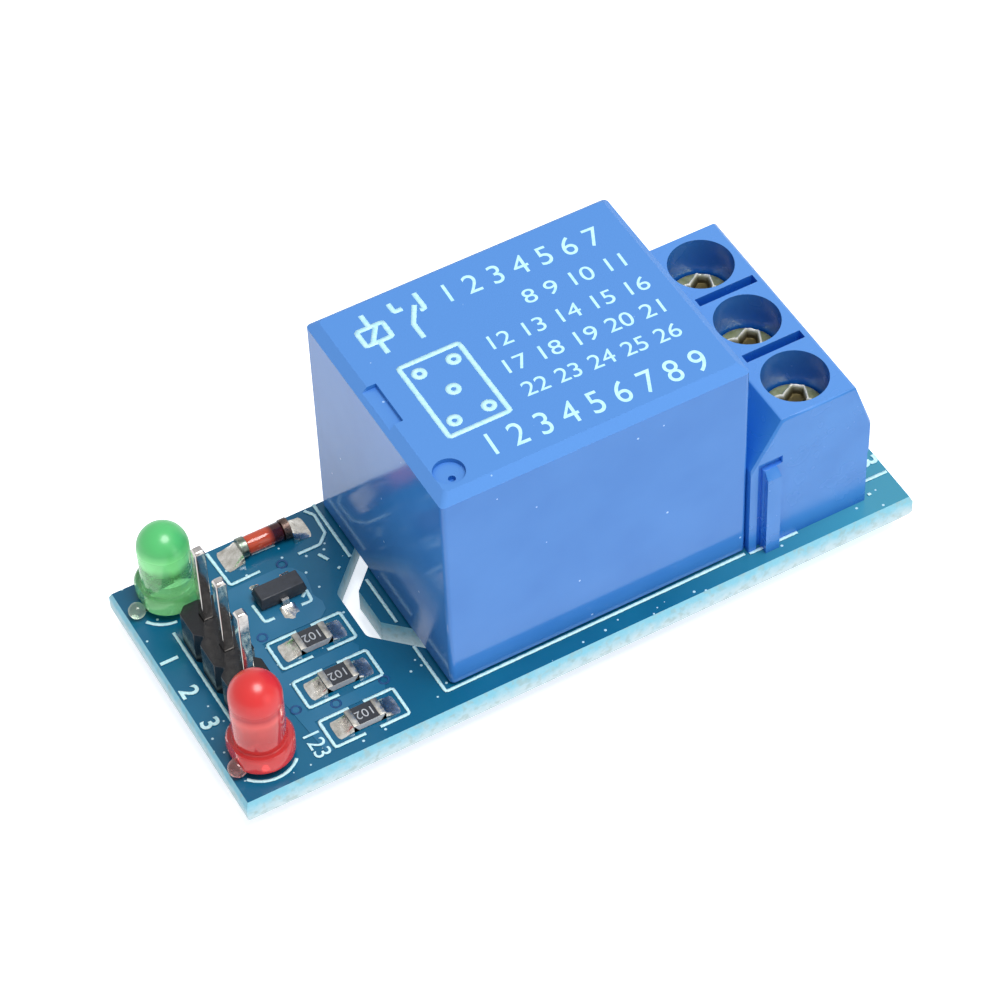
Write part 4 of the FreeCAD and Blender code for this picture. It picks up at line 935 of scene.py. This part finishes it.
class OBJECT_OT_relay_cover(Operator):
    """Round the relay's cover, and print the contact diagram and plain numbers on it"""
    bl_idname = "relay_module.relay_cover"
    bl_label = "Finish the relay's cover"

    def execute(self, context):
        sizes = context.scene.relay_moulding
        cover = softened("relay_cover", sizes.cover_rounding / MM)
        shown("moulded_cover", cover, FINISHES["cover"], "module", "relay_plastic", "relay_cover")
        ink = FINISHES["cover print"]
        height = span("relay_cover")[1].z - 0.005
        # Contact diagram: coil with its slanted bar, change-over blade and its two fixed ends.
        lines = [
            [(-6.0, 5.9), (-4.4, 5.9), (-4.4, 4.7), (-6.0, 4.7), (-6.0, 5.9)], [(-5.6, 4.7), (-4.8, 5.9)],
            [(-5.2, 5.93), (-5.2, 6.9)], [(-5.2, 4.67), (-5.2, 3.7)],
            [(-3.0, 3.7), (-3.0, 4.9), (-2.3, 6.1)], [(-3.5, 6.9), (-3.5, 6.2), (-3.0, 6.2)],
            [(-1.9, 6.9), (-1.9, 5.6), (-2.2, 5.6)],
        ]
        # Pin chart: the base's outline with a ring at each of its five pins.
        lines.append([(-5.3, -3.3), (-1.6, -3.3), (-1.6, 2.4), (-5.3, 2.4), (-5.3, -3.3)])
        for place in ((-4.5, 1.5), (-2.4, 1.5), (-3.45, -0.4), (-4.5, -2.4), (-2.4, -2.4)):
            turn = arc(place, 0.3, 0, 360, 12)
            lines.append(turn[:-1] + turn[:1])
        marks = []
        strips = strip_tree()
        for index, line in enumerate(lines):
            # Each line lies a hair above the last, so that crossings show no seam.
            marks.append(grown("diagram", paths("diagram", [line], height + 0.0004 * index), strips, {
                "Width": sizes.print_line, "Thickness": 0.02 * MM, "Corner radius": 0.06 * MM,
                "Narrowest": 0.88, "Material": ink}))
        # Rows of plain numbers, each as wide as its place and turned a little, as a print is.
        for label, size, left, right, y in (
                ("1 2 3 4 5 6 7", 2.0, -0.6, 8.9, 5.7), ("8 9 10 11", 1.5, 3.2, 9.4, 3.3),
                ("12 13 14 15 16", 1.5, -0.3, 9.4, 1.25), ("17 18 19 20 21", 1.5, -0.3, 9.3, -0.7),
                ("22 23 24 25 26", 1.5, -0.3, 9.2, -2.65), ("1 2 3 4 5 6 7 8 9", 2.3, -3.9, 9.1, -5.2)):
            mesh = digits(label, size, (0, 0, 0))
            reach = [corner.co.x for corner in mesh.vertices]
            mesh.transform(Matrix.Diagonal(((right - left) * MM / (max(reach) - min(reach)), 1, 1, 1)))
            mesh.transform(Matrix.Translation(Vector(((left + right) / 2, y, height)) * MM)
                           @ Matrix.Rotation(-0.04, 4, "Z"))
            marks.append(mesh)
        shown("cover_print", joined("cover_print", marks), ink, "module", "relay_plastic")
        return {"FINISHED"}


class OBJECT_OT_terminal_block(Operator):
    """Round the terminal block's housing and its clamps"""
    bl_idname = "relay_module.terminal_block"
    bl_label = "Finish the terminal block"

    def execute(self, context):
        width = context.scene.relay_moulding.block_rounding / MM
        shown("moulded_block", softened("terminal_housing", width), FINISHES["block"], "module",
              "terminal_plastic", "terminal_housing")
        for number in (1, 2, 3):
            node = f"terminal_clamp_{number}"
            shown(f"pressed_clamp_{number}", softened(node, 0.05, merged=False), FINISHES["nickel"],
                  f"clamp_{number}", "nickel_plate", node)
        return {"FINISHED"}


class OBJECT_OT_terminal_screws(Operator):
    """Make the three clamping screws: pressed cross, burred rims and rolled thread"""
    bl_idname = "relay_module.terminal_screws"
    bl_label = "Make the clamping screws"

    def execute(self, context):
        sizes = context.scene.relay_screw
        arm, depth = sizes.cross_length / MM, sizes.cross_depth / MM
        steps, rings = 144, 36
        head_height, rim_width, root, tip = 0.9, 0.12, 1.02, 0.8
        # The face lies below the head's top, to leave room for the burrs, and is a little domed.
        face_drop, crown_height = 0.2, 0.08
        # The cross stays inside the head: some metal is left above the neck.
        floor_left = 0.12
        # An arm is at most twice half_arm wide and narrows outwards; its walls slope over a short way.
        half_arm, arm_start, arm_taper, wall = 0.56, 0.86, 0.38, 0.14
        burr_place, burr_width, burr_height = 0.12, 0.07, 0.24
        thread = thread_tree()
        for number, turn in ((1, 54.0), (2, 47.0), (3, 50.0)):
            node = f"terminal_screw_{number}"
            low, high = span(node)
            centre = middle(node)
            radius = (high.x - low.x) / 2
            neck = high.z - head_height
            side = math.radians(turn)
            points, faces, painted_shares = [], [], {}
            for ring in range(1, rings + 1):
                for step in range(steps):
                    angle = 2 * math.pi * step / steps
                    r = (radius - rim_width) * ring / rings
                    x, y = r * math.cos(angle), r * math.sin(angle)
                    # How far outside the cross a place lies; its arms narrow outwards to a straight end.
                    u = abs(x * math.cos(side) + y * math.sin(side))
                    v = abs(y * math.cos(side) - x * math.sin(side))
                    gap = min(max(u - arm, v - min(half_arm, arm_start - arm_taper * u)),
                              max(v - arm, u - min(half_arm, arm_start - arm_taper * v)))
                    sunk = min(1.0, max(0.0, 0.5 - gap / wall))
                    sunk = sunk * sunk * (3 - 2 * sunk)
                    # Torn metal stands up along the rim of the cross, higher in some places than in others.
                    torn = 0.62 + 0.5 * noise.noise(Vector((x * 2.6, y * 2.6, number * 7.0)))
                    burr = torn * math.exp(-((gap - burr_place) / burr_width) ** 2)
                    crown = crown_height * (r / radius) ** 2
                    pressed = depth * sunk * (1.25 - 0.5 * r / radius)
                    z = high.z - face_drop - crown - pressed + burr_height * burr
                    points.append((centre.x + x, centre.y + y, min(max(z, neck + floor_left), high.z)))
                    # Each place keeps its share of painted shade in the cross and of painted highlight on the
                    # burrs.
                    key = (round(points[-1][0], 3), round(points[-1][1], 3))
                    painted_shares[key] = (min(1.0, 2.5 * sunk), min(1.0, 1.9 * burr))
            points.append((centre.x, centre.y, max(high.z - face_drop - 1.25 * depth, neck + floor_left)))
            painted_shares[(round(centre.x, 3), round(centre.y, 3))] = (1.0, 0.0)
            for ring in range(rings - 1):
                for step in range(steps):
                    a, b = ring * steps + step, ring * steps + (step + 1) % steps
                    faces.append((a, b, b + steps, a + steps))
            faces += [(len(points) - 1, step, (step + 1) % steps) for step in range(steps)]
            # Down the head's side, under it and down the shank to its point.
            rim = (rings - 1) * steps
            for r, z in ((radius, high.z - 0.3), (radius, neck + 0.1), (radius - 0.1, neck), (root, neck),
                         (root, low.z + 0.2), (tip, low.z)):
                start = len(points)
                for step in range(steps):
                    angle = 2 * math.pi * step / steps
                    points.append((centre.x + r * math.cos(angle), centre.y + r * math.sin(angle), z))
                for step in range(steps):
                    a, b = rim + step, rim + (step + 1) % steps
                    faces.append((a, b, start + (step + 1) % steps, start + step))
                rim = start
            faces.append(tuple(range(rim, rim + steps)))
            blank = solid(node + "_blank", points, faces)
            # The shares become the sunk and burr attributes, which paint the shade and the highlight.
            for layer in ("sunk", "burr"):
                blank.attributes.new(layer, "FLOAT", "POINT")
            for corner in blank.vertices:
                key = (round(corner.co.x / MM, 3), round(corner.co.y / MM, 3))
                if corner.co.z / MM > neck - 0.2 and key in painted_shares:
                    for layer, value in zip(("sunk", "burr"), painted_shares[key]):
                        blank.attributes[layer].data[corner.index].value = value
            turns = (neck - low.z - 0.5) / (sizes.pitch / MM)
            mesh = grown(node + "_threaded", blank, thread, {
                "Root radius": 1.03 * MM, "Pitch": sizes.pitch, "Turns": turns, "Ridge": 0.2 * MM,
                "Axis X": centre.x * MM, "Axis Y": centre.y * MM, "Foot Z": (low.z + 0.25) * MM,
                "Material": FINISHES["zinc"]})
            shown(f"threaded_screw_{number}", smoothed(mesh, 50.0), FINISHES["zinc"], f"screw_{number}",
                  "yellow_zinc", node)
        return {"FINISHED"}


class OBJECT_OT_header(Operator):
    """Round the pin header and its three pins"""
    bl_idname = "relay_module.header"
    bl_label = "Finish the pin header"

    def execute(self, context):
        shown("moulded_header", softened("header_body", 0.06), FINISHES["header"], "module", "black_plastic",
              "header_body")
        for number in (1, 2, 3):
            node = f"header_pin_{number}"
            shown(f"plated_pin_{number}", softened(node, 0.06, 3), FINISHES["pin"], "module", "tinned_metal",
                  node)
        return {"FINISHED"}


class OBJECT_OT_lamps(Operator):
    """Cast the two lamps' lenses round their leads"""
    bl_idname = "relay_module.lamps"
    bl_label = "Cast the lamps"

    def execute(self, context):
        body, whole_flange, flange_height = 1.5, 1.9, 1.15
        for colour, drop_x, drop_y, r in (("green", -20.68, 6.25, 0.5), ("red", -20.8, -6.45, 0.56)):
            node = f"{colour}_led_lens"
            low, high = span(node)
            # A lens that is cut flat on its outer side shows less than its whole flange in its box.
            flange = (high.x - low.x) / 2 if high.x - low.x > 3.7 else whole_flange
            cx, cy = high.x - flange, (low.y + high.y) / 2
            rim, crown = low.z + flange_height, high.z
            base = crown - body
            profile = [(0.0, low.z), (flange - 0.08, low.z), (flange, low.z + 0.08), (flange, rim - 0.15),
                       (flange - 0.12, rim), (body + 0.05, rim), (body, rim + 0.05), (body, base)]
            for i in range(1, 16):
                angle = math.pi / 2 * i / 16
                profile.append((body * math.cos(angle), base + body * math.sin(angle)))
            profile.append((0.0, crown))
            mesh = turned(node, profile, (cx, cy, 0.0), 64)
            for corner in mesh.vertices:
                corner.co.x = max(corner.co.x, low.x * MM)
            shown(f"{colour}_cast_lens", smoothed(mesh, 40.0), FINISHES[f"{colour} lamp"], "module",
                  f"{colour}_epoxy", node)
            # A drop of the casting resin that has set at the foot of the flange.
            ball = [(r * math.sin(math.pi * i / 16), -r * math.cos(math.pi * i / 16)) for i in range(17)]
            ball[0], ball[-1] = (0.0, -r), (0.0, r)
            drop = turned("drop", ball, (drop_x, drop_y, DECK + r - 0.02), 32)
            shown(f"{colour}_resin_drop", smoothed(drop, 60.0), FINISHES[f"{colour} drop"], "module",
                  f"{colour}_epoxy")
        return {"FINISHED"}


class OBJECT_OT_small_parts(Operator):
    """Finish the diode, the transistor and the three chip resistors"""
    bl_idname = "relay_module.small_parts"
    bl_label = "Finish the small parts"

    def execute(self, context):
        low, high = span("diode_glass")
        centre = middle("diode_glass")
        radius = (high.z - low.z) / 2
        # The tube's fire-rounded end, from its axis outwards; the other end mirrors it.
        end = [(0.0, 0.0), (radius - 0.12, 0.0), (radius - 0.03, 0.06), (radius, 0.2)]
        profile = [(r, low.x + inset) for r, inset in end] + [(r, high.x - inset) for r, inset in end[::-1]]
        tube = turned("diode_tube", profile, (0.0, centre.y, centre.z), 40, "X")
        shown("sealed_glass_tube", smoothed(tube), FINISHES["glass"], "module", "amber_glass", "diode_glass")
        shown("moulded_transistor", softened("transistor_body", 0.05), FINISHES["epoxy"], "module",
              "black_moulding", "transistor_body")
        marks = []
        for number in (1, 2, 3):
            body, caps = f"resistor_{number}_body", f"resistor_{number}_caps"
            shown(f"fired_chip_{number}", softened(body, 0.02, 1), FINISHES["ceramic"], "module",
                  "resistor_ceramic", body)
            shown(f"dipped_ends_{number}", softened(caps, 0.035), FINISHES["chip ends"], "module",
                  "plated_end", caps)
            here = middle(body)
            marks.append(digits("102", 0.8, (here.x, here.y, span(body)[1].z + 0.006), 180, 0.012, -0.004))
        shown("chip_print", joined("chip_print", marks), FINISHES["chip ink"], "module", "resistor_ceramic")
        return {"FINISHED"}


class OBJECT_OT_solder(Operator):
    """Flow the solder: fillets at the surface parts and a cone at every pin below"""
    bl_idname = "relay_module.solder"
    bl_label = "Flow the solder"

    def execute(self, context):
        solder = FINISHES["solder"]
        fillets = []
        for number in (1, 2, 3):
            node = f"resistor_{number}_caps"
            low, high = span(node)
            for face, side in ((low.x, -1), (high.x, 1)):
                fillets.append(self.fillet(face, side, middle(node).y, 0.64, 0.95, 0.36, "X", len(fillets)))
        for node, side in (("diode_cap_1", -1), ("diode_cap_2", 1)):
            low, high = span(node)
            face = low.x if side < 0 else high.x
            fillets.append(self.fillet(face, side, middle(node).y, 0.8, 1.15, 0.6, "X", 9 + side))
        for number, side, half, reach in ((1, -1, 0.46, 0.95), (2, 1, 0.28, 0.4), (3, 1, 0.28, 0.4)):
            low, high = span(f"transistor_lead_{number}")
            face = low.y + 0.3 if side < 0 else high.y - 0.12
            fillets.append(self.fillet(face, side, (low.x + high.x) / 2, half, reach, 0.2, "Y", 12 + number))
        shown("surface_joints", smoothed(joined("surface_joints", fillets), 60.0), solder, "module", "solder",
              "surface_solder")
        groups = {
            "relay_solder": [(8.57, -5.42), (8.57, 6.58), (-5.63, 0.58), (-3.63, -5.42), (-3.63, 6.58)],
            "terminal_solder": [(13.3, 5.15), (13.3, 0.15), (13.3, -4.85)],
            "header_solder": [(-18.05, 2.44), (-18.05, -0.1), (-18.05, -2.64)],
            "led_solder": [(-19.77, 6.6), (-17.23, 6.6), (-20.32, -5.87), (-17.78, -5.87)],
        }
        for seed, (node, places) in enumerate(groups.items(), 3):
            mesh = grown(node + "_cones", dots(node, places, UNDERSIDE), cone_tree(), {
                "Foot radius": 0.9 * MM, "Tip radius": 0.36 * MM, "Height": 1.15 * MM, "Hollow": 2.3,
                "Unevenness": context.scene.relay_board.joint_unevenness, "Seed": seed, "Material": solder})
            shown(node + "_joints", smoothed(mesh, 50.0), solder, "module", "solder", node)
        return {"FINISHED"}

    def fillet(self, face, side, centre, half, reach, rise, axis, seed):
        """One fillet of solder: hollow from the part's end down to the pad, closed underneath."""
        rows, columns = 12, 10
        skin = 0.03  # How thick the solder is where it has run out.
        points, faces = [], []
        for row in range(rows + 1):
            t = row / rows
            for column in range(columns + 1):
                s = 2 * column / columns - 1
                spread = half * (1 + 0.03 * t)
                far = 1.0 - 0.12 * abs(s) ** 5
                along = face + side * reach * t * far
                across = centre + s * spread
                hollow = (1 - t) ** 1.9
                edge = 1 - abs(s) ** 6
                swell = 0.05 * noise.noise(Vector((along * 2.3, across * 2.3, seed * 3.7)))
                lift = rise * hollow * (0.55 + 0.45 * edge) + swell * (1 - abs(s) ** 4) * 0.6
                z = DECK + skin + max(0.0, lift)
                points.append((along, across, z) if axis == "X" else (across, along, z))
        top = len(points)
        points += [(x, y, DECK) for x, y, z in points]
        wide = columns + 1
        for row in range(rows):
            for column in range(columns):
                a = row * wide + column
                faces.append((a, a + 1, a + wide + 1, a + wide))
                faces.append((top + a, top + a + wide, top + a + wide + 1, top + a + 1))
        rim = [*range(wide), *(r * wide + columns for r in range(1, rows + 1))]
        rim += [rows * wide + c for c in range(columns - 1, -1, -1)]
        rim += [r * wide for r in range(rows - 1, 0, -1)]
        for i, a in enumerate(rim):
            b = rim[(i + 1) % len(rim)]
            faces.append((a, b, top + b, top + a))
        return solid("fillet", points, faces)


class OBJECT_OT_stage(Operator):
    """Set the pale floor, the soft lights and the camera"""
    bl_idname = "relay_module.stage"
    bl_label = "Set the stage"

    def execute(self, context):
        sizes = context.scene.relay_stage
        material, tree, shader, place = finish("plain_pale_paper", {
            "Roughness": 0.85, "Emission Color": linear("#FFFFFF")})
        colour = (*sizes.floor_colour, 1.0)
        # The paper is lit from below, like a light table; what mirrors it sees it less bright.
        rays = add(tree, "ShaderNodeLightPath")
        glow = add(tree, "ShaderNodeMath", {"operation": "MULTIPLY_ADD"}, {
            0: rays.outputs["Is Glossy Ray"], 1: -0.55, 2: sizes.floor_glow})
        tree.links.new(glow.outputs[0], shader.inputs["Emission Strength"])
        shade_between(tree, shader, place, tuple(c * 0.985 for c in colour[:3]) + (1.0,), colour, 60.0)
        half, level = sizes.floor_size / 2 / MM, -0.02
        floor = solid("floor", [(-half, -half, level), (half, -half, level), (half, half, level),
                                (-half, half, level)], [(0, 1, 2, 3)])
        floor.materials.append(material)
        ground = bpy.data.objects.new("floor", floor)
        SCENE.collection.objects.link(ground)
        world = bpy.data.worlds.new("pale_room")
        world.use_nodes = True
        sky = world.node_tree.nodes["Background"]
        sky.inputs["Color"].default_value = linear("#F4F7FC")
        # Metal mirrors the pale tent above it, which lights the rest only softly.
        seen = add(world.node_tree, "ShaderNodeMath", {"operation": "MULTIPLY_ADD"}, {
            0: add(world.node_tree, "ShaderNodeLightPath").outputs["Is Glossy Ray"], 1: 0.33, 2: 0.42})
        world.node_tree.links.new(seen.outputs[0], sky.inputs["Strength"])
        SCENE.world = world
        target = Vector((0.0, 0.0, 0.01))
        for name, power, size, place in (("main", sizes.main_power, 0.3, (0.06, -0.12, 0.5)),
                                         ("front", 0.28, 0.35, (0.22, -0.45, 0.16))):
            light = bpy.data.lights.new(name, "AREA")
            light.energy = power
            light.shape = "DISK"
            light.size = size
            lamp = bpy.data.objects.new(name, light)
            lamp.location = place
            lamp.rotation_euler = (target - Vector(place)).to_track_quat("-Z", "Y").to_euler()
            SCENE.collection.objects.link(lamp)
        camera = bpy.data.cameras.new("camera")
        camera.lens = 140.671
        camera.sensor_width = 36.0
        camera.clip_start = 0.01
        eye = bpy.data.objects.new("camera", camera)
        eye.location = (-0.066524, -0.126025, 0.173010)
        eye.rotation_euler = [math.radians(a) for a in (40.6102, 1.5951, -29.4272)]
        SCENE.collection.objects.link(eye)
        SCENE.camera = eye
        SCENE.view_settings.view_transform = "Standard"
        return {"FINISHED"}


class VIEW3D_PT_relay_module(Panel):
    """Lists the pieces of the relay module board, and their sizes"""
    bl_label = "Relay module board"
    bl_space_type = "VIEW_3D"
    bl_region_type = "UI"
    bl_category = "Relay module"

    def draw(self, context):
        layout = self.layout
        for group in ("relay_board", "relay_moulding", "relay_screw", "relay_stage"):
            settings = getattr(context.scene, group)
            box = layout.box()
            for name in settings.__annotations__:
                box.prop(settings, name)
        for operator in STEPS:
            layout.operator(operator.bl_idname)


STEPS = (OBJECT_OT_finishes, OBJECT_OT_board_copper, OBJECT_OT_board_print, OBJECT_OT_relay_cover,
         OBJECT_OT_terminal_block, OBJECT_OT_terminal_screws, OBJECT_OT_header, OBJECT_OT_lamps,
         OBJECT_OT_small_parts, OBJECT_OT_solder, OBJECT_OT_stage)
GROUPS = {"relay_board": BoardSizes, "relay_moulding": MouldingSizes, "relay_screw": ScrewSizes,
          "relay_stage": StageSettings}


def register():
    for group in (*GROUPS.values(), *STEPS, VIEW3D_PT_relay_module):
        bpy.utils.register_class(group)
    for name, group in GROUPS.items():
        setattr(bpy.types.Scene, name, PointerProperty(type=group))


def unregister():
    for name in GROUPS:
        delattr(bpy.types.Scene, name)
    for group in (VIEW3D_PT_relay_module, *STEPS, *GROUPS.values()):
        bpy.utils.unregister_class(group)


def main():
    """Registers the add-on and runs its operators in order."""
    register()
    bpy.ops.relay_module.finishes()
    bpy.ops.relay_module.board_copper()
    bpy.ops.relay_module.board_print()
    bpy.ops.relay_module.relay_cover()
    bpy.ops.relay_module.terminal_block()
    bpy.ops.relay_module.terminal_screws()
    bpy.ops.relay_module.header()
    bpy.ops.relay_module.lamps()
    bpy.ops.relay_module.small_parts()
    bpy.ops.relay_module.solder()
    bpy.ops.relay_module.stage()


if __name__ == "__main__":
    main()
